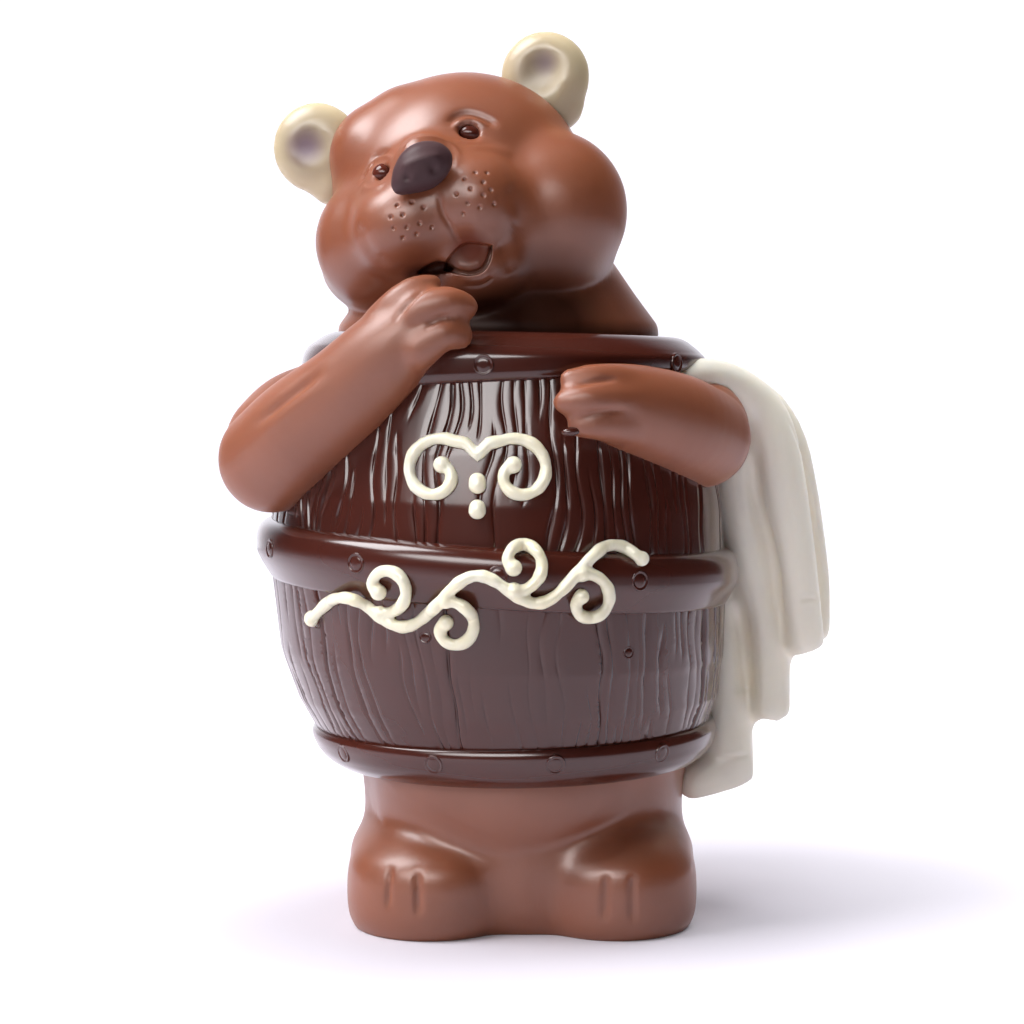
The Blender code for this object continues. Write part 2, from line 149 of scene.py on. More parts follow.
def joinLimbs(limbs, perSpan):
    # one lump of smooth limbs, each from its own points and radii
    pieces = []
    for points, radii in limbs:
        points, radii = easeLine(points, radii, perSpan)
        rope = addRope(points, radii, roundness=5)
        balls = [addBall(place, (radius,) * 3, segments=32, rings=18) for place, radius in zip(points, radii)]
        pieces.append(joinAll([rope] + balls))
    return joinAll(pieces)


def melt(obj, voxel, smoothing):
    # one skin over all the lumps, with the creases between them softened
    remesh = obj.modifiers.new("melt", "REMESH")
    remesh.mode = "VOXEL"
    remesh.voxel_size = voxel * 0.001
    smooth = obj.modifiers.new("smooth", "SMOOTH")
    smooth.factor = 0.5
    smooth.iterations = smoothing
    return applyModifiers(obj)


def carve(obj, cutter, operation="DIFFERENCE"):
    cut = obj.modifiers.new("carve", "BOOLEAN")
    cut.operation = operation
    cut.solver = "EXACT"
    cut.object = cutter
    applyModifiers(obj)
    bpy.data.objects.remove(cutter, do_unlink=True)


def onSkin(obj, x, z):
    # the point of the front at x and z
    hit, place, _, _ = obj.ray_cast(mm(x, -200, z), Vector((0, 1, 0)))
    if not hit:
        raise ValueError(f"nothing of {obj.name} at x {x}, z {z}")
    return place * 1000


def fineLine(line, step):
    points = [line[0]]
    for (x0, z0), (x1, z1) in zip(line, line[1:]):
        count = max(1, math.ceil(math.hypot(x1 - x0, z1 - z0) / step))
        points += [(x0 + (x1 - x0) * i / count, z0 + (z1 - z0) * i / count) for i in range(1, count + 1)]
    return points


def meshPlaces(obj):
    count = len(obj.data.vertices)
    places = np.empty(count * 3)
    normals = np.empty(count * 3)
    obj.data.vertices.foreach_get("co", places)
    obj.data.vertices.foreach_get("normal", normals)
    return places.reshape(-1, 3) * 1000, normals.reshape(-1, 3)


def setPlaces(obj, places):
    obj.data.vertices.foreach_set("co", (places / 1000).ravel())
    obj.data.update()


def press(obj, line, width, depth, ends=0.18):
    # a groove along a line of (x, z) on the front, or a ridge where depth is below zero; ends is the share of
    # the line over which each end fades
    spots = np.array([onSkin(obj, x, z) for x, z in fineLine(line, step=0.5)])
    places, normals = meshPlaces(obj)
    reach = 3 * width
    near = ((places > spots.min(0) - reach) & (places < spots.max(0) + reach)).all(1)
    near = np.where(near)[0]
    gaps = np.linalg.norm(places[near, None] - spots[None], axis=2)
    amount = depth * np.exp(-((gaps.min(1) / width) ** 2))
    if len(spots) > 2 and ends:
        along = gaps.argmin(1) / (len(spots) - 1)
        fade = np.clip(np.minimum(along, 1 - along) / ends, 0, 1)
        amount *= fade * fade * (3 - 2 * fade)
    places[near] -= normals[near] * amount[:, None]
    setPlaces(obj, places)


def pressAll(obj, rows, ends):
    for line, width, depth in rows:
        press(obj, easeFlat(line), width, depth, ends)


def insideShare(x, z, outline, edge):
    # 0 outside a closed outline of (x, z), rising to 1 as far in as the edge is wide
    nearest = np.full(len(x), 1e9)
    inside = np.zeros(len(x), bool)
    for (x0, z0), (x1, z1) in zip(outline, outline[1:] + outline[:1]):
        runX, runZ = x1 - x0, z1 - z0
        along = np.clip(((x - x0) * runX + (z - z0) * runZ) / (runX**2 + runZ**2), 0, 1)
        nearest = np.minimum(nearest, np.hypot(x - x0 - along * runX, z - z0 - along * runZ))
        if runZ:
            inside ^= ((z0 > z) != (z1 > z)) & (x < x0 + (z - z0) * runX / runZ)
    share = inside * np.clip(nearest / edge, 0, 1)
    return share * share * (3 - 2 * share)


def openMouth(obj, form):
    # sinks the gap between the lips, and leaves the tongue standing in it, lowest under the upper lip
    upper, tongue, lower = [easeFlat(form[key], perSpan=4) for key in ("upperLip", "tongueEdge", "lowerLip")]
    places, _ = meshPlaces(obj)
    x, y, z = places.T
    front = y < onSkin(obj, *upper[len(upper) // 2]).y + form["reach"]
    high = np.interp(x, *zip(*upper))
    low = np.interp(x, *zip(*tongue))
    shallow, deep = form["tongueDepth"]
    tongueDepth = shallow + (deep - shallow) * np.clip((z - low) / np.maximum(high - low, 0.1), 0, 1)
    gap = form["gapDepth"] * insideShare(x, z, upper + lower[::-1], form["edge"])
    rise = (form["gapDepth"] - tongueDepth) * insideShare(x, z, upper + tongue[::-1], form["edge"])
    places[:, 1] += front * (gap - rise)
    setPlaces(obj, places)


def clearPicks(obj):
    for parts in (obj.data.polygons, obj.data.edges, obj.data.vertices):
        parts.foreach_set("select", [False] * len(parts))


def refine(obj, low, high, smooth=0):
    # a finer mesh on the front, between two corners of (x, z)
    (x0, z0), (x1, z1) = low, high
    clearPicks(obj)
    pickOnly(obj)
    for face in obj.data.polygons:
        x, _, z = face.center * 1000
        face.select = x0 < x < x1 and z0 < z < z1 and face.normal.y < -0.1
    bpy.ops.object.mode_set(mode="EDIT")
    bpy.ops.mesh.select_mode(type="FACE")
    bpy.ops.mesh.subdivide(number_cuts=1)
    if smooth:
        bpy.ops.mesh.vertices_smooth(factor=0.5, repeat=smooth)
    bpy.ops.object.mode_set(mode="OBJECT")


def soften(obj, line, width, repeat):
    # smooths the front near a line of (x, z)
    spots = np.array([onSkin(obj, x, z) for x, z in fineLine(line, step=1.0)])
    places, _ = meshPlaces(obj)
    gaps = np.full(len(places), 1e9)
    for spot in spots:
        gaps = np.minimum(gaps, np.linalg.norm(places - spot, axis=1))
    pickOnly(obj)
    clearPicks(obj)
    obj.data.vertices.foreach_set("select", gaps < width)
    bpy.ops.object.mode_set(mode="EDIT")
    bpy.ops.mesh.select_mode(type="VERT")
    bpy.ops.mesh.vertices_smooth(factor=0.5, repeat=repeat)
    bpy.ops.object.mode_set(mode="OBJECT")


def finishPiece(obj, name, material, slot, *nodes):
    obj.name = name
    obj.data.name = name
    obj.data.materials.clear()
    obj.data.materials.append(material)
    pickOnly(obj)
    bpy.ops.object.shade_smooth()
    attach(obj, "root")
    if nodes:
        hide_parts(*nodes)
    print(f"{name}: {sum(len(face.vertices) - 2 for face in obj.data.polygons)} triangles")


# chocolate finishes

def newMaterial(name):
    material = bpy.data.materials.new(name)
    material.use_nodes = True
    return material, material.node_tree


def setInputs(tree, node, inputs):
    # each input is a value or another node's output
    for key, value in inputs.items():
        socket = node.inputs[key]
        if isinstance(value, bpy.types.NodeSocket):
            tree.links.new(value, socket)
        elif socket.type == "RGBA":
            socket.default_value = (*value, 1.0)
        else:
            socket.default_value = value


def addNode(tree, kind, inputs, **settings):
    node = tree.nodes.new("ShaderNode" + kind)
    for key, value in settings.items():
        setattr(node, key, value)
    setInputs(tree, node, inputs)
    return node


def noise(tree, where, scale, detail, roughness=0.5):
    inputs = {"Vector": where, "Scale": scale, "Detail": detail, "Roughness": roughness}
    return addNode(tree, "TexNoise", inputs).outputs["Fac"]


def spread(tree, value, low, high, start=0.3, end=0.7):
    # spreads a value from between start and end to between low and high
    inputs = {"Value": value, "From Min": start, "From Max": end, "To Min": low, "To Max": high}
    return addNode(tree, "MapRange", inputs).outputs["Result"]


def blendColours(tree, factor, first, second):
    return addNode(tree, "Mix", {"Factor": factor, 6: first, 7: second}, data_type="RGBA").outputs[2]


def multiply(tree, value, factor):
    return addNode(tree, "Math", {0: value, 1: factor}, operation="MULTIPLY").outputs["Value"]


finishForm = {
    "cloudDetail": 3.0,
    "glossDetail": 4.0,
    "pitDetail": 3.0,
    "pitRoughness": 0.6,
    "pitDepth": 0.0002,
}


def chocolate(name, look):
    # two close tones in soft clouds, a slightly uneven gloss, a fine skin of pits, and darker or duller
    # spots; on the milk chocolate these spots are painted shade
    material, tree = newMaterial(name)
    shader = tree.nodes["Principled BSDF"]
    where = addNode(tree, "TexCoord", {}).outputs["Object"]
    clouds = noise(tree, where, look["cloudScale"], finishForm["cloudDetail"])
    colour = blendColours(tree, spread(tree, clouds, 0.0, 1.0), look["tone"], look["deepTone"])
    sheen = None
    for centre, core, edge, tone, strength, dull in look.get("spots", ()):
        gap = addNode(tree, "VectorMath", {0: where, 1: mm(*centre)}, operation="DISTANCE").outputs["Value"]
        ring = core * 0.001, edge * 0.001
        colour = blendColours(tree, spread(tree, gap, strength, 0.0, *ring), colour, tone)
        if dull:
            kept = spread(tree, gap, 1 - dull, 1.0, *ring)
            sheen = multiply(tree, sheen, kept) if sheen else kept
    patches = noise(tree, where, look["glossScale"], finishForm["glossDetail"])
    pits = noise(tree, where, look["bumpScale"], finishForm["pitDetail"], finishForm["pitRoughness"])
    bump = {"Strength": look["bump"], "Distance": finishForm["pitDepth"], "Height": pits}
    inputs = {
        "Base Color": colour,
        "Roughness": spread(tree, patches, *look["gloss"]),
        "Normal": addNode(tree, "Bump", bump).outputs["Normal"],
        "Specular IOR Level": look["specular"],
        "Coat Weight": look["coat"],
        "Coat Roughness": look["coatRoughness"],
    }
    if look["glow"]:
        inputs["Subsurface Weight"] = look["glow"]
        inputs["Subsurface Radius"] = look["glowReach"]
        inputs["Subsurface Scale"] = 0.001
    setInputs(tree, shader, inputs)
    if sheen:
        specular, coat = multiply(tree, sheen, look["specular"]), multiply(tree, sheen, look["coat"])
        setInputs(tree, shader, {"Specular IOR Level": specular, "Coat Weight": coat})
    return material


milkLook = {
    "tone": (0.258, 0.079, 0.034),
    "deepTone": (0.214, 0.063, 0.027),
    "cloudScale": 38.0,
    "gloss": (0.36, 0.46),
    "glossScale": 90.0,
    "bump": 0.12,
    "bumpScale": 1400.0,
    "specular": 0.6,
    "coat": 0.35,
    "coatRoughness": 0.27,
    "glow": 0.12,
    "glowReach": (3.0, 1.2, 0.6),
    # a spot's centre, where it starts and stops fading, its tone and strength, and how much duller it is;
    # each spot here is painted shade with its gloss dulled
    "spots": [
        # painted shade on the tongue under the upper lip's overhang, with a duller gloss
        ((-11.0, -34.0, 148.0), 2.4, 5.2, (0.14, 0.032, 0.018), 0.8, 0.85),  # the tongue
        # painted shade deep in the mouth's gap, with a duller gloss
        ((-21.5, -29.0, 142.4), 2.6, 4.8, (0.065, 0.018, 0.010), 0.85, 0.7),  # the mouth's gap
        ((-17.0, -29.5, 143.4), 2.6, 4.6, (0.065, 0.018, 0.010), 0.85, 0.7),
        # painted shadow on the neck under the chin and the jowls, and on its right side, with a duller gloss
        ((-7.0, -27.5, 131.0), 6.5, 12.5, (0.035, 0.010, 0.006), 0.85, 0.85),  # the neck under the chin
        ((6.0, -26.0, 133.0), 7.0, 18.0, (0.035, 0.010, 0.006), 0.85, 0.85),
        ((26.0, -9.0, 135.0), 6.0, 17.0, (0.080, 0.024, 0.014), 0.55, 0.3),
    ],
}

armLook = {**milkLook, "gloss": (0.42, 0.52), "coatRoughness": 0.36, "spots": ()}

darkLook = {
    "tone": (0.068, 0.0145, 0.0085),
    "deepTone": (0.050, 0.0112, 0.0070),
    "cloudScale": 30.0,
    "gloss": (0.20, 0.26),
    "glossScale": 120.0,
    "bump": 0.05,
    "bumpScale": 900.0,
    "specular": 0.25,
    "coat": 0.8,
    "coatRoughness": 0.16,
    "glow": 0.0,
}

whiteLook = {
    "tone": (0.94, 0.885, 0.745),
    "deepTone": (0.91, 0.865, 0.75),
    "cloudScale": 30.0,
    "gloss": (0.32, 0.42),
    "glossScale": 80.0,
    "bump": 0.06,
    "bumpScale": 900.0,
    "specular": 0.5,
    "coat": 0.2,
    "coatRoughness": 0.25,
    "glow": 0.35,
    "glowReach": (4.5, 4.0, 3.4),
}

pipingLook = {
    **whiteLook,
    "tone": (0.90, 0.84, 0.60),
    "deepTone": (0.84, 0.82, 0.66),
    "cloudScale": 120.0,
    "gloss": (0.22, 0.30),
    "coat": 0.4,
    "glow": 0.25,
    "glowReach": (1.5, 1.3, 0.9),
}

earLook = {
    **whiteLook,
    "tone": (0.57, 0.475, 0.30),
    "deepTone": (0.53, 0.445, 0.29),
    # the hollow of each ear looks darker
    "spots": [
        ((-49.2, -1.0, 174.0), 2.5, 9.5, (0.30, 0.235, 0.155), 0.9, 0),
        ((-48.8, -0.6, 172.9), 1.2, 5.2, (0.20, 0.13, 0.17), 0.9, 0),
        ((3.6, 0.6, 190.6), 2.0, 8.6, (0.30, 0.235, 0.155), 0.8, 0),
        ((5.8, 0.8, 192.0), 0.8, 4.0, (0.20, 0.14, 0.17), 0.85, 0),
    ],
}

noseLook = {
    "tone": (0.070, 0.034, 0.036),
    "deepTone": (0.050, 0.025, 0.028),
    "cloudScale": 90.0,
    "gloss": (0.44, 0.54),
    "glossScale": 200.0,
    "bump": 0.10,
    "bumpScale": 1500.0,
    "specular": 0.2,
    "coat": 0.0,
    "coatRoughness": 0.35,
    "glow": 0.0,
}

eyeLook = {
    **darkLook,
    "tone": (0.110, 0.022, 0.012),
    "deepTone": (0.070, 0.015, 0.009),
    "gloss": (0.16, 0.20),
    "specular": 0.35,
    "coat": 0.15,
    "coatRoughness": 0.05,
}

milk = chocolate("milkChocolate", milkLook)
armMilk = chocolate("armChocolate", armLook)
dark = chocolate("darkChocolate", darkLook)
white = chocolate("whiteChocolate", whiteLook)
pipingWhite = chocolate("pipedChocolate", pipingLook)
earWhite = chocolate("earChocolate", earLook)
noseDark = chocolate("noseChocolate", noseLook)
eyeDark = chocolate("eyeChocolate", eyeLook)
print("finishes ready")


# the barrel's turned shapes

barrelForm = {
    # by height: how far right the axis stands, how steeply level lines rise to the right, and the radius
    "axis": [
        (30, -0.2), (38, -1.1), (49, -2.9), (57, -4.2),
        (80, -5.4), (120, -4.6), (128, -3.5), (135, -2.8),
    ],
    "slope": [
        (30, 0.01), (44, 0.02), (58, -0.02), (73, -0.06), (86, -0.066),
        (104, 0.0), (120, 0.045), (127, -0.02), (134, -0.016),
    ],
    "staves": [
        (41, 44.4), (45, 46.2), (49, 48.1), (59, 50.6), (73, 51.7),
        (86, 51.6), (94, 50.9), (105, 48.8), (121, 44.3),
    ],
    "wall": 4.0,
    "hoopSides": 288,
    "hoopWall": (3.0, 0.6),  # thickness, and how much its inner side is cut back at each end
    "hoopRound": 0.9,
}

# each hoop's outer outline of (radius, height), from its lower edge to its upper one
hoops = {
    "middle": [
        (50.6, 72.4), (51.9, 72.9), (54.2, 76.9), (54.9, 78.6), (54.9, 81.8),
        (54.5, 83.5), (53.6, 84.8), (52.3, 85.6), (50.8, 86.0),
    ],
    "bottom": [
        (38.0, 33.3), (41.2, 33.7), (43.9, 35.6), (45.6, 37.8),
        (46.4, 40.6), (45.9, 42.4), (44.9, 42.9), (43.0, 42.7),
    ],
    "collar": [
        (42.0, 119.3), (44.9, 119.9), (45.9, 121.2), (45.8, 125.4), (44.7, 127.0),
        (42.9, 128.4), (41.0, 129.7), (39.2, 130.4), (36.4, 130.5),
    ],
}


def between(table, at):
    for (a0, b0), (a1, b1) in zip(table, table[1:]):
        if a0 <= at <= a1:
            return b0 + (b1 - b0) * (at - a0) / (a1 - a0)
    return table[0][1] if at < table[0][0] else table[-1][1]


def roundCorners(profile, reach, steps=4):
    rounded = [profile[0]]
    for before, corner, after in zip(profile, profile[1:], profile[2:]):
        a, b, c = Vector(before), Vector(corner), Vector(after)
        start = b + (a - b).normalized() * min(reach, (a - b).length * 0.5)
        end = b + (c - b).normalized() * min(reach, (c - b).length * 0.5)
        for i in range(steps + 1):
            t = i / steps
            rounded.append(tuple(start * (1 - t) ** 2 + b * 2 * t * (1 - t) + end * t**2))
    rounded.append(profile[-1])
    return rounded


def spinOutline(outline, sides, closed=True):
    # turns an outline of (radius, height) about the upright axis; one that isn't closed runs back to the axis
    if not closed:
        outline = outline + [(0.0, outline[-1][1])]
    count = len(outline)
    edges = [(i, (i + 1) % count) for i in range(count if closed else count - 1)]
    mesh = bpy.data.meshes.new("turned")
    mesh.from_pydata([mm(radius, 0, height) for radius, height in outline], edges, [])
    turned = newObject("turned", mesh)
    screw = turned.modifiers.new("screw", "SCREW")
    screw.steps = sides
    screw.render_steps = sides
    screw.use_merge_vertices = True
    screw.merge_threshold = 0.00001
    return turnOut(applyModifiers(turned))


def lean(obj):
    # the barrel's axis drifts with height, and its level lines rise or fall to the right
    places, _ = meshPlaces(obj)
    slopeAt, slope = zip(*barrelForm["slope"])
    axisAt, axis = zip(*barrelForm["axis"])
    height = places[:, 2].copy()
    places[:, 2] += np.interp(height, slopeAt, slope) * places[:, 0]
    places[:, 0] += np.interp(height, axisAt, axis)
    setPlaces(obj, places)


# the wood grain of the staves

grainForm = {
    "radius": 50.0,  # where spacings and widths round the barrel are measured
    "spacing": (1.9, 3.5),
    "joints": 10,
    "firstJoint": 0.63,
    "jointDepth": 0.62,
    "closing": 0.03,
    "beyond": 9,
    # the chances, added up, that a groove ends below the top, starts above the foot, or does both
    "shortChances": (0.28, 0.56, 0.68),
    # the room such ends leave at the foot and the top; for both, the range of the start and the least length
    "topRoom": (6, 2),
    "footRoom": (3, 8),
    "bothRoom": (8, 9),
    "rowStep": 0.62,
    "columnStep": 0.9,
    "taper": 4.0,
    # across a groove, in half widths, with the share of its depth
    "section": [
        (-1.25, -0.06), (-0.72, 0.25), (-0.36, 0.8), (0, 1.0), (0.36, 0.8), (0.72, 0.25), (1.25, -0.06),
    ],
    # the depth's mean share, its swing, its waves up a groove and its shift from groove to groove
    "pulse": (0.85, 0.25, 0.55, 1.7),
    "rows": {
        "staves_lower": {
            "low": 41.6,
            "high": 74.4,
            "seed": 11,
            "depth": (0.10, 0.26),
            "halfWidth": 0.38,
            # waves that sway the grooves: turns round the barrel, waves up it, size and shift
            "drift": [
                (4, 0.06, 0.7, 2.4), (9, -0.16, 0.55, 0.7), (15, 0.30, 0.32, 1.1), (24, 0.38, 0.18, 0.3),
            ],
        },
        "staves_upper": {
            "low": 84.6,
            "high": 121.2,
            "seed": 12,
            "depth": (0.26, 0.46),
            "halfWidth": 0.46,
            "drift": [
                (3, 0.05, 0.9, 0.4), (7, 0.17, 0.75, 1.9), (13, 0.31, 0.40, 0.2), (21, -0.36, 0.22, 2.2),
            ],
        },
    },
}


def planGrain(form):
    # every groove's place round the barrel, its ends and its depth
    dice = random.Random(form["seed"])
    low, high = form["low"], form["high"]
    shortTop, shortFoot, shortBoth = grainForm["shortChances"]
    topRoom, footRoom, bothRoom = grainForm["topRoom"], grainForm["footRoom"], grainForm["bothRoom"]
    grooves = []
    around = -math.pi
    jointStep = 2 * math.pi / grainForm["joints"]
    nextJoint = around + jointStep * grainForm["firstJoint"]
    while around < math.pi - grainForm["closing"]:
        start, end = low - grainForm["beyond"], high + grainForm["beyond"]
        if around > nextJoint:
            depth = grainForm["jointDepth"]
            nextJoint += jointStep
        else:
            chance = dice.random()
            if chance < shortTop:
                end = dice.uniform(low + topRoom[0], high - topRoom[1])
            elif chance < shortFoot:
                start = dice.uniform(low + footRoom[0], high - footRoom[1])
            elif chance < shortBoth:
                start = dice.uniform(low, low + bothRoom[0])
                end = dice.uniform(start + bothRoom[1], high)
            depth = dice.uniform(*form["depth"])
        grooves.append({"around": around, "low": start, "high": end, "depth": depth})
        around += dice.uniform(*grainForm["spacing"]) / grainForm["radius"]
    return grooves


def planColumns(grooves, halfWidth):
    # each column's angle, its groove, and its share of that groove's depth
    half = halfWidth / grainForm["radius"]
    edge = grainForm["section"][-1][0]
    columns = []
    for index, groove in enumerate(grooves):
        around = groove["around"]
        for offset, share in grainForm["section"]:
            columns.append((around + offset * half, index, share))
        last = index + 1 == len(grooves)
        after = grooves[0]["around"] + 2 * math.pi if last else grooves[index + 1]["around"]
        room = after - around - 2 * edge * half
        extra = max(0, round(room * grainForm["radius"] / grainForm["columnStep"]) - 1)
        for i in range(extra):
            columns.append((around + edge * half + room * (i + 1) / (extra + 1), index, 0.0))
    return columns


def carveStaves(name, form):
    low, high = form["low"], form["high"]
    grooves = planGrain(form)
    columns = planColumns(grooves, form["halfWidth"])
    angles, owner, share = [np.array(row) for row in zip(*columns)]

    rows = max(2, round((high - low) / grainForm["rowStep"]))
    heights = [low + (high - low) * i / rows for i in range(rows + 1)]
    outline = [(between(barrelForm["staves"], height), height) for height in heights]
    wall = barrelForm["wall"]
    inner = [(outline[row][0] - wall, outline[row][1]) for row in (-1, len(outline) // 2, 0)]
    staves = spinOutline(outline + inner, len(columns))

    places, _ = meshPlaces(staves)
    height = places[:, 2].copy()
    radius = np.hypot(places[:, 0], places[:, 1])
    outside = radius > np.interp(height, *zip(*barrelForm["staves"])) - wall * 0.5
    step = 2 * math.pi / len(columns)
    column = np.round(np.arctan2(places[:, 0], -places[:, 1]) / step).astype(int) % len(columns)
    angle = angles[column]
    groove = owner[column]
    sway = np.zeros(len(angle))
    for turns, waves, size, shift in form["drift"]:
        sway += size / grainForm["radius"] * np.sin(turns * angle + waves * height + shift)
    start, end, depth = [np.array([row[key] for row in grooves])[groove] for key in ("low", "high", "depth")]
    taper = grainForm["taper"]
    ends = np.clip((height - start) / taper, 0, 1) * np.clip((end - height) / taper, 0, 1)
    mean, swing, waves, shift = grainForm["pulse"]
    pulse = mean + swing * np.sin(height * waves + groove * shift)
    radius = radius - outside * share[column] * depth * ends * pulse
    angle = angle + sway
    places[:, 0] = radius * np.sin(angle)
    places[:, 1] = -radius * np.cos(angle)
    setPlaces(staves, places)
    lean(turnOut(staves))
    finishPiece(staves, name, dark, "dark_chocolate", "barrel")


for name, form in grainForm["rows"].items():
    carveStaves(name, form)

for name, profile in hoops.items():
    inset, rise = barrelForm["hoopWall"]
    inside = [(profile[-1][0] - inset, profile[-1][1] - rise), (profile[0][0] - inset, profile[0][1] + rise)]
    hoop = spinOutline(roundCorners(profile, barrelForm["hoopRound"]) + inside, barrelForm["hoopSides"])
    lean(hoop)
    finishPiece(hoop, "hoop_" + name, dark, "dark_chocolate", "barrel")

# the studs on the hoops and staves, modelled once and copied

studForm = {
    "outline": [
        (0.0, 0.28), (0.8, 0.25), (1.25, 0.15), (1.5, 0.02),
        (1.72, 0.10), (1.96, 0.22), (2.14, 0.12), (2.24, -0.7),
    ],
    "round": (0.2, 3),
    "sides": 28,
    "rows": {
        "middle": {"height": 80.3, "radius": 54.84, "first": 0.5, "count": 11, "tilt": -1, "bare": (2,)},
        "bottom": {"height": 39.4, "radius": 46.0, "first": 10.6, "count": 11, "tilt": 15, "bare": (2, 8)},
        "collar": {"height": 123.4, "radius": 46.0, "first": -4.8, "count": 6, "tilt": 0, "bare": ()},
    },
    # smaller ones on the staves: degrees, height and size
    "nails": [(-50.0, 66.5, 0.62), (-17.5, 66.3, 0.62), (32.0, 64.0, 0.62)],
    "nailTilt": -2,
}


def barrelSpot(radius, degrees, height):
    # a place on the leaning barrel, from its own radius, angle and height
    angle = math.radians(degrees)
    x = radius * math.sin(angle)
    return (
        x + between(barrelForm["axis"], height),
        -radius * math.cos(angle),
        height + between(barrelForm["slope"], height) * x,
    )


def placeStud(stud, degrees, height, radius, tilt, size):
    copy = stud.copy()
    copy.data = stud.data.copy()
    bpy.context.scene.collection.objects.link(copy)
    spin = Matrix.Rotation(math.radians(degrees), 4, "Z") @ Matrix.Rotation(math.radians(90 + tilt), 4, "X")
    place = Matrix.Translation(mm(*barrelSpot(radius, degrees, height)))
    copy.data.transform(place @ spin @ Matrix.Scale(size, 4))
    return copy


stud = spinOutline(roundCorners(studForm["outline"], *studForm["round"]), studForm["sides"], closed=False)
studs = []
for row in studForm["rows"].values():
    for i in range(row["count"]):
        if i in row["bare"]:
            continue  # under the towel, or where the outline shows none
        degrees = row["first"] + 360.0 * i / row["count"]
        studs.append(placeStud(stud, degrees, row["height"], row["radius"], row["tilt"], 1.0))
for degrees, height, size in studForm["nails"]:
    radius = between(barrelForm["staves"], height)
    studs.append(placeStud(stud, degrees, height, radius, studForm["nailTilt"], size))
bpy.data.objects.remove(stud, do_unlink=True)
finishPiece(joinAll(studs), "studs", dark, "dark_chocolate")
print("barrel ready")


# the piped scrolls on the barrel's front

pipingForm = {
    "radius": 1.32,
    "bead": 1.75,
    "beadSpread": (0.93, 1.08),
    "lift": 0.35,
    # the middle hoop as the piping runs over it: (height, radius), and how far above and below it counts
    "hoopEdges": [(72.6, 51.7), (73.8, 54.1), (79.2, 54.9), (84.6, 54.1), (85.8, 51.6)],
    "hoopReach": 1.2,
    # curls are a centre, the first and last radius, the first angle and the turns
    "crownLeft": (-17.6, 101.0, 2.0, 7.6, 60, -1.0),
    "crownDip": [(-11.6, 107.2), (-9.2, 104.6), (-6.8, 107.2)],
    "crownRight": (-0.8, 101.0, 7.6, 2.0, 120, -1.0),
    "drops": [[(-9.2, 99.4), (-9.2, 98.6)], [(-9.2, 94.0), (-9.2, 93.4)]],
    "vine": {"start": (-45.0, 69.0), "run": (70.0, 14.0), "sway": 4.2, "waves": 5, "steps": 70},
    "vineCurl": {"offset": (2.4, 5.6), "radii": (6.0, 1.6), "first": -100, "turns": 0.9},
    # two waves along a line, each with its size and its angle at each step
    "ripple": ((0.07, 0.55), (0.04, 1.3)),
    "beat": (0, 6),
    "seed": 5,
}


def barrelFront(x, z):
    across = x - between(barrelForm["axis"], z)
    level = z - between(barrelForm["slope"], z) * across
    radius = between(barrelForm["staves"], level)
    edges, reach = pipingForm["hoopEdges"], pipingForm["hoopReach"]
    for height in (level - reach, level, level + reach):
        if edges[0][0] < height < edges[-1][0]:
            radius = max(radius, between(edges, height))
    return Vector((x, -math.sqrt(radius**2 - across**2), z))


def curl(x, z, start, end, first, turns, steps=26):
    line = []
    for i in range(steps + 1):
        part = i / steps
        radius = start + (end - start) * part
        angle = math.radians(first + 360 * turns * part)
        line.append((x + radius * math.cos(angle), z + radius * math.sin(angle)))
    return line


def onVine(part):
    (x, z), (run, rise) = pipingForm["vine"]["start"], pipingForm["vine"]["run"]
    return x + run * part, z + rise * part


def scrollLines():
    # the crown and its drops, then the vine with a curl at each crossing
    lines = [curl(*pipingForm["crownLeft"]) + pipingForm["crownDip"] + curl(*pipingForm["crownRight"])]
    lines += pipingForm["drops"]
    form = pipingForm["vine"]
    vine = []
    for i in range(form["steps"] + 1):
        part = i / form["steps"]
        x, z = onVine(part)
        vine.append((x, z + form["sway"] * math.sin(part * form["waves"] * math.pi)))
    lines.append(vine)
    leaf = pipingForm["vineCurl"]
    for i in range(1, form["waves"]):
        x, z = onVine(i / form["waves"])
        side = 1 if i % 2 else -1
        across, up = leaf["offset"]
        start, end = leaf["radii"]
        lines.append(curl(x + across, z + side * up, start, end, side * leaf["first"], side * leaf["turns"]))
    return lines


piped = []
dice = random.Random(pipingForm["seed"])
(swell, often), (shake, quick) = pipingForm["ripple"]
for line in scrollLines():
    line = fineLine(line, step=1.0) if len(line) > 2 else line
    spots = [tuple(barrelFront(x, z) + Vector((0, -pipingForm["lift"], 0))) for x, z in line]
    beat = dice.uniform(*pipingForm["beat"])
    radii = []
    for i in range(len(spots)):
        ripple = 1 + swell * math.sin(i * often + beat) + shake * math.sin(i * quick)
        radii.append(pipingForm["radius"] * ripple)
    piped.append(addRope(spots, radii))
    for end in (spots[0], spots[-1]):
        bead = pipingForm["bead"] * dice.uniform(*pipingForm["beadSpread"])
        piped.append(addBall(end, (bead,) * 3, segments=28, rings=16))
piping = melt(joinAll(piped), voxel=0.34, smoothing=4)
finishPiece(piping, "piping", pipingWhite, "white_chocolate", "barrel")
print("piping ready")


# the head

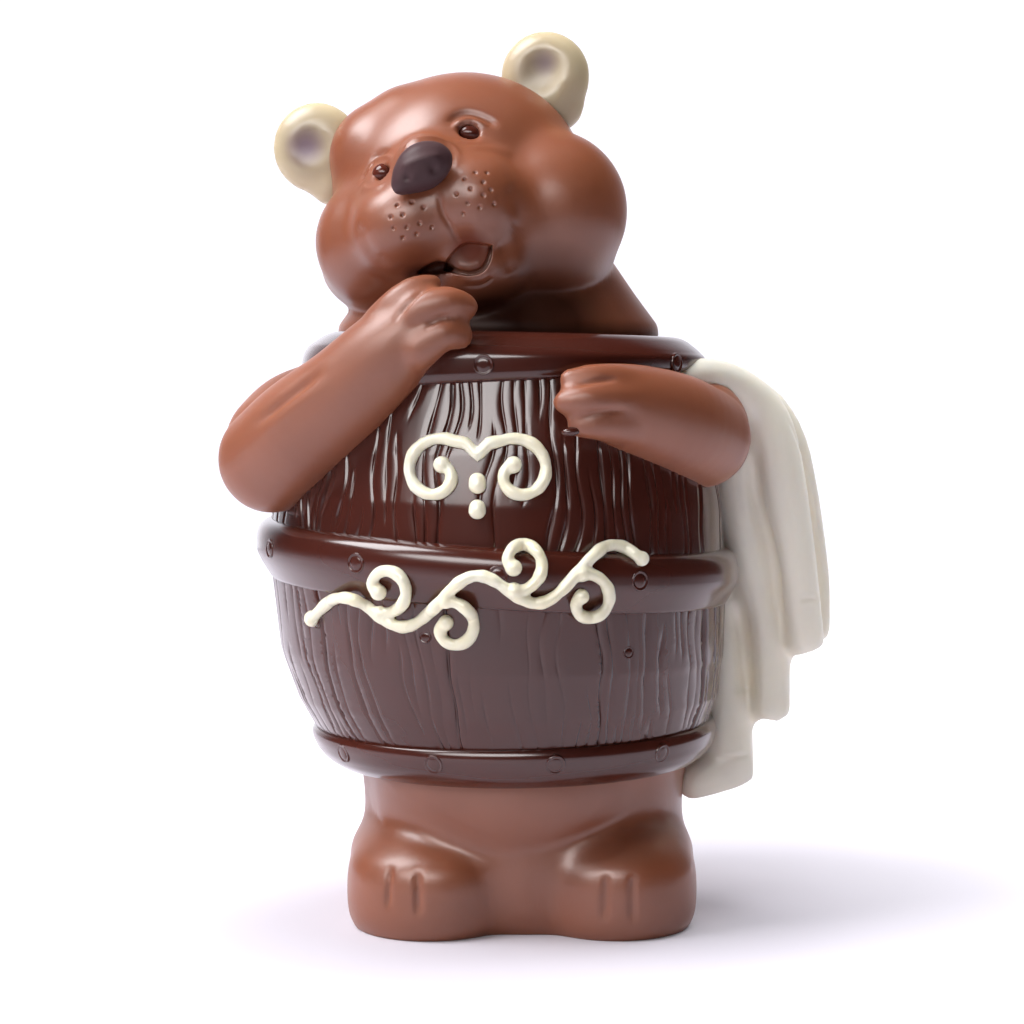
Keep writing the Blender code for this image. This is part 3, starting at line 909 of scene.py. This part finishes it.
headForm = {
    "neck": {
        "outline": [
            (31.0, 118.0), (34.6, 126.0), (36.9, 130.4), (36.5, 132.8),
            (33.9, 136.3), (31.3, 139.8), (26.4, 147.0), (20.0, 155.0),
        ],
        "place": (-5.2, 3.5, 0.0),
        "depth": 0.84,
    },
    "turn": (-8, -22, -14),
    "lumps": [
        ((-14.0, 2.0, 162.5), (29.5, 29.0, 27.0)),
        ((-30.0, -1.0, 170.0), (13.5, 15.0, 13.5)),
        ((3.0, -8.0, 148.5), (18.8, 19.0, 15.5)),
        ((-30.9, -11.0, 150.5), (15.0, 15.5, 15.4)),
        ((-24.0, 0.0, 175.0), (14.0, 16.0, 12.0)),
        ((6.2, -10.5, 158.0), (17.6, 18.0, 18.0)),
        ((-18.5, -19.0, 156.5), (20.5, 17.0, 17.0)),
        ((-24.6, -25.0, 153.5), (13.0, 12.6, 11.5)),
        ((-9.8, -26.0, 158.2), (11.0, 12.6, 11.8)),
        ((-9.5, -22.5, 143.5), (12.5, 13.0, 9.0)),
        ((-1.5, -17.5, 156.5), (11.0, 13.0, 14.5)),
        ((-20.5, -28.0, 166.0), (7.0, 8.6, 7.4)),
    ],
    "jaws": ((-11.5, -3.0, 152.5), (34.8, 27.5, 18.5), (0, -14, 0)),
    "eyes": {
        "left": {"centre": (-29.9, 164.7), "socket": (2.1, 2.6, 1.95), "tilt": -10},
        "right": {"centre": (-11.4, 173.6), "socket": (2.5, 2.6, 1.75), "tilt": 8},
    },
    "eyeTurn": -14,
    "eyeHollow": (5.5, 0.9),
    "socketSunk": 0.5,
    "mouth": [(-25.3, 141.7), (-22.5, 142.7), (-19.5, 143.8), (-17.0, 144.2), (-15.2, 143.9), (-13.8, 143.3)],
    "mouthRadii": [0.4, 0.8, 1.35, 1.45, 1.0, 0.5],
    "mouthDepths": [0.7, 2.4, 4.2],
    "opening": {
        "upperLip": [
            (-16.6, 145.0), (-15.7, 146.2), (-14.3, 147.8), (-12.6, 149.1),
            (-11.1, 149.5), (-8.8, 149.3), (-6.2, 148.9),
        ],
        "tongueEdge": [
            (-16.4, 144.5), (-14.9, 144.4), (-13.5, 143.6), (-11.1, 143.2),
            (-8.8, 143.9), (-7.5, 145.4), (-6.9, 147.0), (-6.6, 148.6),
        ],
        "lowerLip": [
            (-16.9, 143.7), (-15.0, 142.9), (-12.8, 142.4), (-10.9, 142.2),
            (-8.5, 142.8), (-7.0, 144.4), (-6.3, 146.4), (-6.1, 148.4),
        ],
        "tongueDepth": (2.4, 1.8),
        "gapDepth": 3.5,
        "edge": 0.4,
        "reach": 8.0,
    },
    # corners of (x, z) between which the mesh is finer, and finer again
    "fine": ((-36.5, 138.5), (3, 180)),
    "finest": ((-17.6, 140.4), (-5.0, 150.3)),
    # line, width and depth, or height where it is below zero
    "folds": [
        # round the eyes
        (
            [(-35.1, 162.2), (-34.2, 165.0), (-32.9, 166.9), (-31.5, 168.8), (-29.3, 169.7), (-27.6, 170.2)],
            1.2, 0.6,
        ),
        (
            [(-34.6, 163.9), (-33.0, 166.0), (-31.8, 167.6), (-30.1, 168.3), (-28.5, 168.2), (-27.4, 167.2)],
            0.7, -0.45,
        ),
        ([(-34.9, 161.9), (-33.1, 161.2), (-31.0, 161.3), (-29.0, 161.7)], 1.1, -0.35),
        (
            [(-15.9, 174.4), (-14.7, 176.8), (-12.2, 177.9), (-9.6, 177.5), (-7.0, 176.4), (-4.4, 175.0)],
            1.1, 0.7,
        ),
        ([(-15.3, 174.0), (-13.5, 175.9), (-11.2, 176.6), (-9.2, 176.0), (-6.9, 174.8)], 0.7, -0.45),
        ([(-14.6, 171.9), (-12.0, 170.9), (-9.0, 171.1), (-6.8, 172.6)], 1.0, -0.3),
        # the muzzle's upper edges and its middle
        (
            [
                (-26.2, 167.9), (-24.2, 170.2), (-21.6, 171.4), (-18.4, 171.6),
                (-15.4, 170.6), (-13.6, 168.4), (-13.6, 166.0), (-14.8, 163.8),
            ],
            0.8, -0.3,
        ),
        ([(-12.7, 169.3), (-7.9, 170.0), (-4.1, 169.5), (-1.1, 168.4)], 1.5, -0.3),
        (
            [(-17.9, 160.0), (-17.2, 157.6), (-16.5, 155.0), (-15.0, 152.5), (-13.7, 149.9), (-12.8, 149.0)],
            0.65, 0.6,
        ),
        # the tongue's edge, the lower lip and the fold beneath it
        ([(-14.4, 144.9), (-13.0, 144.4), (-11.1, 144.1), (-9.3, 144.6), (-8.2, 145.7)], 0.8, -0.2),
        ([(-13.6, 141.6), (-11.0, 141.4), (-8.2, 141.9), (-6.1, 143.7)], 0.6, -0.2),
        ([(-13.0, 140.3), (-11.2, 140.1), (-9.2, 140.2), (-7.4, 140.8), (-6.0, 142.2)], 0.5, 0.28),
        # between the muzzle and the cheeks
        ([(-4.9, 149.6), (-3.6, 147.6), (-2.8, 145.2), (-2.2, 142.6)], 2.0, 0.5),
        ([(-3.5, 161.6), (-1.2, 157.9), (-0.1, 154.9), (-0.8, 152.6), (-2.4, 150.6)], 2.6, 0.6),
        ([(-34.9, 154.7), (-33.9, 150.5), (-31.3, 146.5), (-27.0, 144.2)], 2.0, 0.5),
    ],
    "whiskers": [
        (-26.3, 157.0), (-23.2, 157.6), (-20.7, 156.5), (-27.6, 154.5), (-25.1, 154.9), (-27.0, 152.2),
        (-24.2, 152.4), (-21.5, 153.2), (-19.0, 152.4), (-25.1, 150.1), (-22.2, 150.9),
        (-12.1, 162.4), (-9.8, 163.8), (-7.3, 163.8), (-8.1, 161.7), (-10.8, 160.3), (-13.8, 159.2),
        (-6.5, 160.1), (-8.1, 159.0), (-11.3, 157.4), (-5.8, 157.2), (-8.8, 156.5), (-12.3, 155.1),
    ],
    "whiskerRoom": 1.0,
    "whiskerSize": (0.36, 0.45),
}


def addColumn(outline, place, depth):
    # turned from (radius, height), then flattened from front to back and moved to its place
    column = spinOutline([(0.0, outline[0][1])] + outline, sides=96, closed=False)
    column.data.transform(Matrix.Translation(mm(*place)) @ Matrix.Diagonal((1.0, depth, 1.0, 1.0)))
    return column


lumps = [addBall(centre, radii, headForm["turn"]) for centre, radii in headForm["lumps"]]
lumps.append(addBall(*headForm["jaws"]))
head = joinAll(lumps)
melt(head, voxel=1.2, smoothing=24)

# the neck goes on after the head is smooth, so the jowls hang over it
head = joinAll([head, addColumn(**headForm["neck"])])
head.name = "head"
melt(head, voxel=0.8, smoothing=3)

# eye sockets and the mouth's gap
cutters = []
for eye in headForm["eyes"].values():
    x, z = eye["centre"]
    press(head, [(x, z)], *headForm["eyeHollow"])
    centre = x, onSkin(head, x, z).y + headForm["socketSunk"], z
    turn = 0, eye["tilt"], headForm["eyeTurn"]
    cutters.append(addBall(centre, eye["socket"], turn, segments=32, rings=18))
line, radii = easeLine(headForm["mouth"], headForm["mouthRadii"], perSpan=3)
for sunk in headForm["mouthDepths"]:
    spots = [tuple(onSkin(head, x, z) + Vector((0, sunk, 0))) for x, z in line]
    cutters.append(addRope(spots, radii, roundness=4))
carve(head, melt(joinAll(cutters), voxel=0.3, smoothing=1))
melt(head, voxel=0.67, smoothing=2)

refine(head, *headForm["fine"], smooth=2)
refine(head, *headForm["finest"])
openMouth(head, headForm["opening"])
pressAll(head, headForm["folds"], ends=0.25)
room = headForm["whiskerRoom"]
for x, z in headForm["whiskers"]:
    refine(head, (x - room, z - room), (x + room, z + room))
for spot in headForm["whiskers"]:
    press(head, [spot], *headForm["whiskerSize"])
finishPiece(head, "head", milk, "milk_chocolate", "bear")
print("head ready")

eyeForm = {"behind": 2.7, "wider": 0.35, "depth": 2.4}
for side, eye in headForm["eyes"].items():
    x, z = eye["centre"]
    across, _, up = eye["socket"]
    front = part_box("eye_" + side)[0].y * 1000
    radii = across + eyeForm["wider"], eyeForm["depth"], up + eyeForm["wider"]
    turn = 0, eye["tilt"], headForm["eyeTurn"]
    ball = addBall((x, front + eyeForm["behind"], z), radii, turn, segments=40, rings=24)
    finishPiece(ball, f"eye_{side}_glossy", eyeDark, "eye_chocolate", "eye_" + side)

noseForm = {
    "centre": (-20.9, 164.8),
    "outline": [
        (-27.5, 160.9), (-26.9, 164.5), (-24.8, 168.1), (-21.2, 170.1), (-17.0, 169.8),
        (-14.6, 167.3), (-15.2, 163.8), (-18.3, 160.6), (-22.6, 159.3), (-26.2, 159.1),
    ],
    "ridge": [(-25.7, 164.1), (-22.8, 165.4), (-19.7, 166.5), (-16.2, 166.8)],
    "ridgeSize": (0.9, -0.45),
    "nostrils": [(-24.0, 162.2), (-18.3, 164.0)],
    "nostrilSize": (0.9, 0.6),
}


def shapePebble(centre, outline, near, far):
    # a ball whose front view is a closed outline of (x, z), between two depths
    pebble = addBall((0, 0, 0), (1, 1, 1), (90, 0, 0), segments=96, rings=48)
    places, _ = meshPlaces(pebble)
    rim = np.array(easeFlat(outline + outline[:1], perSpan=6)) - np.array(centre)
    rimAngle = np.arctan2(rim[:, 1], rim[:, 0])
    order = np.argsort(rimAngle)
    around = np.arctan2(places[:, 2], places[:, 0])
    reach = np.interp(around, rimAngle[order], np.hypot(*rim.T)[order], period=2 * math.pi)
    places[:, 0] = centre[0] + places[:, 0] * reach
    places[:, 2] = centre[1] + places[:, 2] * reach
    places[:, 1] = (near + far) / 2 + places[:, 1] * (far - near) / 2
    setPlaces(pebble, places)
    return pebble


low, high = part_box("nose")
nose = shapePebble(noseForm["centre"], noseForm["outline"], low.y * 1000, high.y * 1000)
nose.name = "nose_form"
melt(nose, voxel=0.3, smoothing=6)
press(nose, easeFlat(noseForm["ridge"]), *noseForm["ridgeSize"])
for spot in noseForm["nostrils"]:
    press(nose, [spot], *noseForm["nostrilSize"])
finishPiece(nose, "nose_dark", noseDark, "nose_chocolate", "nose")

earForm = {
    "left": {
        "disc": ((-46.6, 3.2, 173.2), (10.4, 5.2, 10.6), (0, 0, -4)),
        "stem": ((-42.6, 3.2, 166.0), (5.6, 4.4, 6.6), (0, 30, 0)),
        "dish": ((-48.4, -5.0, 172.9), (8.0, 4.6, 8.6), (0, -20, -4)),
    },
    "right": {
        "disc": ((5.5, 3.0, 189.2), (10.5, 5.6, 10.6), (0, -20, -8)),
        "stem": ((7.6, 3.0, 183.6), (6.8, 4.8, 7.4), (0, -40, 0)),
        "dish": ((3.9, -5.4, 190.0), (8.0, 5.2, 9.6), (0, 28, -8)),
    },
}
for side, form in earForm.items():
    disc = addBall(*form["disc"], segments=64, rings=40)
    ear = joinAll([disc, addBall(*form["stem"], segments=48, rings=30)])
    melt(ear, voxel=0.9, smoothing=6)
    carve(ear, addBall(*form["dish"], segments=48, rings=30))
    melt(ear, voxel=0.8, smoothing=18)
    melt(ear, voxel=0.4, smoothing=4)
    finishPiece(ear, f"ear_{side}_white", earWhite, "white_chocolate", "ear_" + side)
print("eyes, nose and ears ready")


# the arms

raisedArm = {
    "limbs": [
        ([(-44.5, 2, 115), (-50.5, -6, 110.8), (-53.8, -12, 106)], [10, 11.5, 12.3]),
        (
            [(-54.5, -22, 103), (-47, -29, 109.5), (-37.5, -35.5, 117), (-29, -40, 125), (-24, -41.5, 129.5)],
            [11.9, 11.8, 10.6, 9.4, 8.2],
        ),
        (
            [(-29.5, -41.5, 132.5), (-25.8, -43.6, 136.6), (-22, -43, 139.4), (-18.5, -41, 140.2)],
            [3.8, 3.2, 2.7, 2.2],
        ),
        (
            [(-26, -44.5, 130.5), (-20.8, -46.4, 134.6), (-15.5, -46.2, 136.1), (-11.9, -43.8, 135.4)],
            [4, 3.9, 3.6, 3],
        ),
        ([(-21.5, -46, 126.6), (-16.5, -47, 129.8), (-13, -44.8, 129.4)], [4.6, 3.7, 3.1]),
    ],
    "creases": [
        ([(-26.8, 131.6), (-24.6, 134.7), (-22.4, 137.2), (-20.1, 138.9), (-17.7, 139.4)], 0.8, 0.9),
        ([(-20.4, 130.6), (-18.9, 131.8), (-17.3, 132.6), (-15.5, 133.0), (-12.7, 133.2)], 0.8, 0.8),
        ([(-58.5, 109.4), (-53.0, 113.6), (-48.0, 117.4), (-43.8, 120.4), (-39.7, 123.1)], 1.3, 0.9),
        ([(-57.0, 107.4), (-51.5, 111.6), (-46.5, 115.4), (-42.0, 118.6), (-38.0, 121.4)], 1.6, -0.35),
    ],
}

restingArm = {
    "limbs": [
        ([(37, 4, 115), (40, -6, 111.8), (40, -14, 109.2)], [8, 9.6, 10.8]),
        (
            [(39.4, -19, 107.6), (33, -28.5, 110.8), (24, -37, 113.8), (17.5, -41.5, 115.6)],
            [11.2, 11.0, 9.8, 8.2],
        ),
        ([(32, -31, 115), (23, -41, 118.6), (15.6, -46, 120.6), (9.7, -47.2, 120.3)], [5.5, 4.6, 3.2, 2.3]),
        ([(32, -32, 112), (23, -42.5, 115.2), (14, -48.8, 116.2), (8.7, -49.4, 115.6)], [5.5, 5.2, 3.7, 2.6]),
        ([(32, -31, 109), (23, -42, 110.8), (15.4, -48, 111), (11.4, -49.0, 110.6)], [5.5, 4.8, 3.3, 2.4]),
    ],
    "creases": [
        ([(10.0, 118.9), (14.0, 119.8), (17.4, 120.3), (20.6, 120.3)], 0.7, 0.55),
        ([(11.4, 112.9), (12.9, 113.1), (16.3, 113.6), (19.7, 113.9), (23.1, 113.7)], 0.7, 0.55),
    ],
}


def sculptArm(form, name):
    arm = joinLimbs(form["limbs"], perSpan=5)
    arm.name = name
    melt(arm, voxel=0.9, smoothing=8)
    melt(arm, voxel=0.45, smoothing=6)
    pressAll(arm, form["creases"], ends=0.35)
    finishPiece(arm, name, armMilk, "milk_chocolate", "bear")


sculptArm(raisedArm, "arm_raised")
sculptArm(restingArm, "arm_resting")

clawForm = {"centre": (10.0, -50.7, 109.6), "radii": (2.0, 1.3, 1.0), "turn": (0, -6, 16)}
claw = addBall(**clawForm, segments=32, rings=20)
finishPiece(claw, "claw", dark, "dark_chocolate", "bear")
print("arms ready")


# the belly and feet

legForm = {
    # the column is an outline of (radius, height), longer from side to side than from front to back
    "column": {
        "outline": [
            (30.0, -8.0), (36.4, 4.0), (37.2, 12.0), (36.9, 18.0),
            (36.5, 23.0), (36.9, 29.0), (38.0, 35.0), (38.0, 45.0),
        ],
        "place": (0.6, 0.5, 0.0),
        "depth": 0.95,
    },
    "belly": ((-1.5, -9.2, 32.0), (33.0, 29.0, 26.0), (0, -3, 0)),
    "lumps": [
        ((-20.2, -9.5, 13.5), (18.9, 28.5, 12.0)),
        ((21.0, -9.5, 13.5), (18.5, 28.5, 12.0)),
    ],
    # x, y, radius and height
    "feet": [
        (-20.0, -21, 18.8, 19), (20.6, -21, 18.5, 19),
        (-18.5, 8, 20, 18), (19.0, 8, 20, 18), (0.5, -9.5, 22.5, 17),
    ],
    "footSink": 3.0,
    "footRound": 7.0,
    "toes": [
        [(-28.2, 16.7), (-28.6, 11.3), (-28.8, 6.0)],
        [(-22.4, 16.4), (-22.2, 11.3), (-22.2, 5.2)],
        [(18.0, 15.2), (17.8, 10.2), (17.6, 4.0)],
        [(23.8, 15.4), (23.6, 10.2), (23.9, 3.6)],
    ],
    "toeSize": (0.75, 0.85),
    # where the left leg meets the belly, smoothed wide
    "lap": [
        (-33.5, 29.0), (-31.0, 27.6), (-28.0, 25.8), (-25.3, 24.8),
        (-20.0, 23.0), (-14.0, 20.6), (-7.8, 18.0), (-3.0, 17.4),
    ],
    "lapWidth": 5.0,
    "bellyEdge": [
        (-26.0, 21.6), (-19.6, 20.0), (-11.0, 18.9), (-2.3, 18.6), (5.0, 19.6), (14.6, 22.2), (27.0, 25.0),
    ],
    "bellyEdgeSize": (2.0, 0.3),
}


def addFoot(x, y, radius, height):
    bpy.ops.object.select_all(action="DESELECT")
    bpy.ops.mesh.primitive_cylinder_add(
        vertices=64,
        radius=radius * 0.001,
        depth=(height + legForm["footSink"]) * 0.001,
        location=mm(x, y, (height - legForm["footSink"]) / 2),
    )
    foot = bpy.context.object
    bpy.ops.object.transform_apply(location=True, rotation=True, scale=True)
    bevel = foot.modifiers.new("round top", "BEVEL")
    bevel.width = legForm["footRound"] * 0.001
    bevel.segments = 8
    bevel.limit_method = "ANGLE"
    return applyModifiers(foot)


legs = joinAll([addBall(*lump) for lump in legForm["lumps"]] + [addFoot(*foot) for foot in legForm["feet"]])
melt(legs, voxel=1.2, smoothing=10)
legs = joinAll([legs, addColumn(**legForm["column"])])
melt(legs, voxel=1.2, smoothing=12)
belly = melt(addBall(*legForm["belly"]), voxel=1.2, smoothing=6)
legs = joinAll([legs, belly])
legs.name = "legs"
melt(legs, voxel=1.0, smoothing=20)
melt(legs, voxel=0.7, smoothing=4)
soften(legs, legForm["lap"], legForm["lapWidth"], repeat=60)
for line in legForm["toes"]:
    press(legs, line, *legForm["toeSize"], ends=0.3)
press(legs, easeFlat(legForm["bellyEdge"]), *legForm["bellyEdgeSize"])

# a flat cut on the ground
editAll(legs)
bpy.ops.mesh.bisect(
    plane_co=(0, 0, 0),
    plane_no=(0, 0, 1),
    use_fill=True,
    clear_inner=True,
    threshold=0.000001,
)
bpy.ops.object.mode_set(mode="OBJECT")
finishPiece(legs, "legs", milk, "milk_chocolate", "bear")
print("legs ready")


# the towel over the arm

towelForm = {
    "folds": [
        (
            [
                (35.5, -19, 120.6), (40, -13.5, 121.2), (46, -6, 119.2), (52.5, -1, 114.4), (56.2, 0, 108),
                (58.8, 0, 98), (61.2, 0, 86), (63.2, 0, 74), (64.8, 0, 61),
            ],
            [3.0, 4.0, 5.2, 6.2, 6.6, 6.3, 5.7, 5.2, 5],
        ),
        (
            [
                (50, 8, 119.4), (57.4, 9, 113.2), (62.2, 9.5, 105.4), (65.1, 9.5, 95),
                (67.0, 9.5, 83), (68.4, 9, 72), (68.9, 7.5, 62),
            ],
            [4.2, 4.8, 4.6, 4.2, 4.2, 4.0, 3.4],
        ),
        (
            [(47, 6, 116), (50, 4, 104), (50.5, 4, 90), (54, 4, 74), (57, 3, 60), (57.6, 2, 44.5)],
            [7, 7.6, 7, 6, 5.2, 4.8],
        ),
        ([(45, 10, 90), (46, 8, 72), (47.4, 6, 56), (47.6, 5, 42), (47.6, 4, 31.5)], [6, 6.4, 6.4, 6.4, 6.6]),
        ([(48.2, 4, 30), (43.5, 2, 29.0), (40.5, 1, 28)], [6.4, 5.6, 4.8]),
    ],
    # the hem, seen from the front, with the towel above and to the left of it
    "hem": [
        (90.0, 140.0), (90.0, 68.0), (72.4, 63.0), (71.2, 60.2), (67.0, 58.4), (62.6, 57.0),
        (62.6, 46.0), (61.8, 43.2), (59.1, 41.9), (55.4, 42.5), (54.2, 40.9), (54.0, 32.0),
        (53.8, 28.0), (50.5, 26.6), (47.5, 25.7), (39.4, 23.6), (30.0, 22.0), (30.0, 140.0),
    ],
    "hemDepth": (-40, 40),
    "creases": [
        (
            [
                (53.4, 108.0), (53.1, 100.0), (54.0, 92.0), (56.4, 84.0),
                (58.2, 76.0), (58.6, 70.0), (60.4, 62.0), (61.6, 57.6),
            ],
            1.6, 1.5,
        ),
        (
            [
                (58.6, 113.6), (61.4, 109.8), (64.0, 104.0), (66.0, 97.0),
                (68.0, 87.0), (69.1, 76.0), (69.7, 68.0),
            ],
            0.8, 0.55,
        ),
        ([(49.5, 70.0), (51.0, 62.0), (51.6, 52.0), (53.2, 45.0)], 2.2, 1.4),
        ([(63.4, 70.2), (65.6, 70.6), (68.2, 69.8)], 0.5, 0.35),
        ([(44.5, 33.2), (48.5, 33.8), (53.0, 34.0)], 0.5, 0.25),
    ],
}


def addPrism(outline, near, far):
    # a closed outline of (x, z) pushed along y from near to far
    mesh = bpy.data.meshes.new("prism")
    mesh.from_pydata([mm(x, near, z) for x, z in outline], [], [list(range(len(outline)))])
    prism = newObject("prism", mesh)
    editAll(prism)
    bpy.ops.mesh.extrude_region_move(TRANSFORM_OT_translate={"value": mm(0, far - near, 0)})
    bpy.ops.object.mode_set(mode="OBJECT")
    return turnOut(prism)


towel = joinLimbs(towelForm["folds"], perSpan=3)
towel.name = "towel_form"
melt(towel, voxel=0.9, smoothing=5)
carve(towel, addPrism(towelForm["hem"], *towelForm["hemDepth"]), "INTERSECT")
melt(towel, voxel=0.5, smoothing=4)
pressAll(towel, towelForm["creases"], ends=0.25)
finishPiece(towel, "towel_white", white, "white_chocolate", "towel")
print("towel ready")


# floor, light and camera

studio = {
    "floorRadius": 0.9,
    "floorDrop": 0.00002,
    "floorTone": (0.64, 0.615, 0.675),
    "floorRoughness": 0.7,
    "floorGlow": (1.0, 0.98, 1.02),
    # the paper looks whiter away from the figure
    "floorSeen": (0.06, 0.7),
    "floorFade": (0.07, 0.36),
    "floorCast": 0.02,
    "paperWhite": 1.2,
    "skyTone": (0.93, 0.92, 1.0),
    "frontToBack": {"low": 0.02, "high": 1.5, "start": 0.6, "end": 0.95},
    "leftToRight": {"low": 1.0, "high": 0.45, "start": -0.3, "end": 0.5},
    # some lamps only light, and some are only seen in the gloss
    "lamps": {
        "sky": {"place": (-0.62, -0.14, 1.0), "size": (0.62, 0.62), "power": 15.5, "tone": (1.0, 0.985, 1.0)},
        "ceiling": {"place": (0.15, 0.14, 1.25), "size": (0.8, 0.8), "power": 14.0, "gloss": False},
        "left": {
            "place": (-1.0, -0.3, 0.45), "size": (0.8, 0.8), "power": 5.5,
            "tone": (0.93, 0.91, 1.0), "gloss": False,
        },
        "right": {
            "place": (0.75, 0.75, 0.3), "size": (0.8, 0.8), "power": 7.5,
            "tone": (0.9, 0.93, 1.0), "gloss": False,
        },
        "front": {"place": (-0.50, -0.86, 0.50), "size": (0.50, 0.42), "power": 1.8, "gloss": False},
        "window": {
            "place": (-0.30, -0.95, 0.62), "size": (1.1, 0.36), "power": 8.0,
            "light": False, "shape": "ELLIPSE",
        },
        "halo": {
            "place": (-0.34, -0.95, 0.64), "size": (1.5, 0.6), "power": 2.4,
            "light": False, "shape": "ELLIPSE",
        },
    },
    "lampTarget": (0, 0, 0.1),
    "cameraPlace": (-0.00206, -0.5, 0.12),
    "cameraTilt": 3.43,
    "cameraLens": 76.82,
    "cameraSensor": 36,
    "cameraNear": 0.01,
}

bpy.ops.object.select_all(action="DESELECT")
bpy.ops.mesh.primitive_circle_add(
    vertices=96,
    radius=studio["floorRadius"],
    fill_type="NGON",
    location=(0, 0, -studio["floorDrop"]),
)
floor = bpy.context.object
floor.name = "floor"
floorMaterial, tree = newMaterial("floorPaper")
where = addNode(tree, "TexCoord", {}).outputs["Object"]
gap = addNode(tree, "VectorMath", {0: where}, operation="LENGTH").outputs["Value"]
paper = {
    "Factor": addNode(tree, "LightPath", {}).outputs["Is Camera Ray"],
    "A": studio["floorCast"],
    "B": spread(tree, gap, *studio["floorSeen"], *studio["floorFade"]),
}
inputs = {
    "Base Color": studio["floorTone"],
    "Roughness": studio["floorRoughness"],
    "Emission Color": studio["floorGlow"],
    "Emission Strength": addNode(tree, "Mix", paper).outputs["Result"],
}
setInputs(tree, tree.nodes["Principled BSDF"], inputs)
floor.data.materials.append(floorMaterial)

# a white sheet behind and nothing bright in front; the camera itself sees plain white paper all round
world = bpy.data.worlds.new("studio")
bpy.context.scene.world = world
world.use_nodes = True
tree = world.node_tree
direction = addNode(tree, "TexCoord", {}).outputs["Generated"]
parts = addNode(tree, "SeparateXYZ", {0: direction}).outputs
glow = spread(tree, parts["Y"], **studio["frontToBack"])
glow = multiply(tree, glow, spread(tree, parts["X"], **studio["leftToRight"]))
seen = addNode(tree, "LightPath", {}).outputs["Is Camera Ray"]
strength = addNode(tree, "Mix", {"Factor": seen, "A": glow, "B": studio["paperWhite"]}).outputs["Result"]
setInputs(tree, tree.nodes["Background"], {"Color": studio["skyTone"], "Strength": strength})


def addSoftbox(name, form):
    bpy.ops.object.light_add(type="AREA", location=form["place"])
    lamp = bpy.context.object
    lamp.name = name
    lamp.data.shape = form.get("shape", "RECTANGLE")
    lamp.data.size, lamp.data.size_y = form["size"]
    lamp.data.energy = form["power"]
    lamp.data.color = form.get("tone", (1.0, 1.0, 1.0))
    lamp.visible_diffuse = form.get("light", True)
    lamp.visible_glossy = form.get("gloss", True)
    aim = Vector(studio["lampTarget"]) - Vector(form["place"])
    lamp.rotation_euler = aim.to_track_quat("-Z", "Y").to_euler()


for name, form in studio["lamps"].items():
    addSoftbox(name, form)

camera = newObject("camera", bpy.data.cameras.new("camera"))
camera.location = studio["cameraPlace"]
camera.rotation_euler = (math.radians(90 - studio["cameraTilt"]), 0, 0)
camera.data.lens = studio["cameraLens"]
camera.data.sensor_width = studio["cameraSensor"]
camera.data.clip_start = studio["cameraNear"]
bpy.context.scene.camera = camera
bpy.context.scene.view_settings.view_transform = "Standard"

print("scene ready")
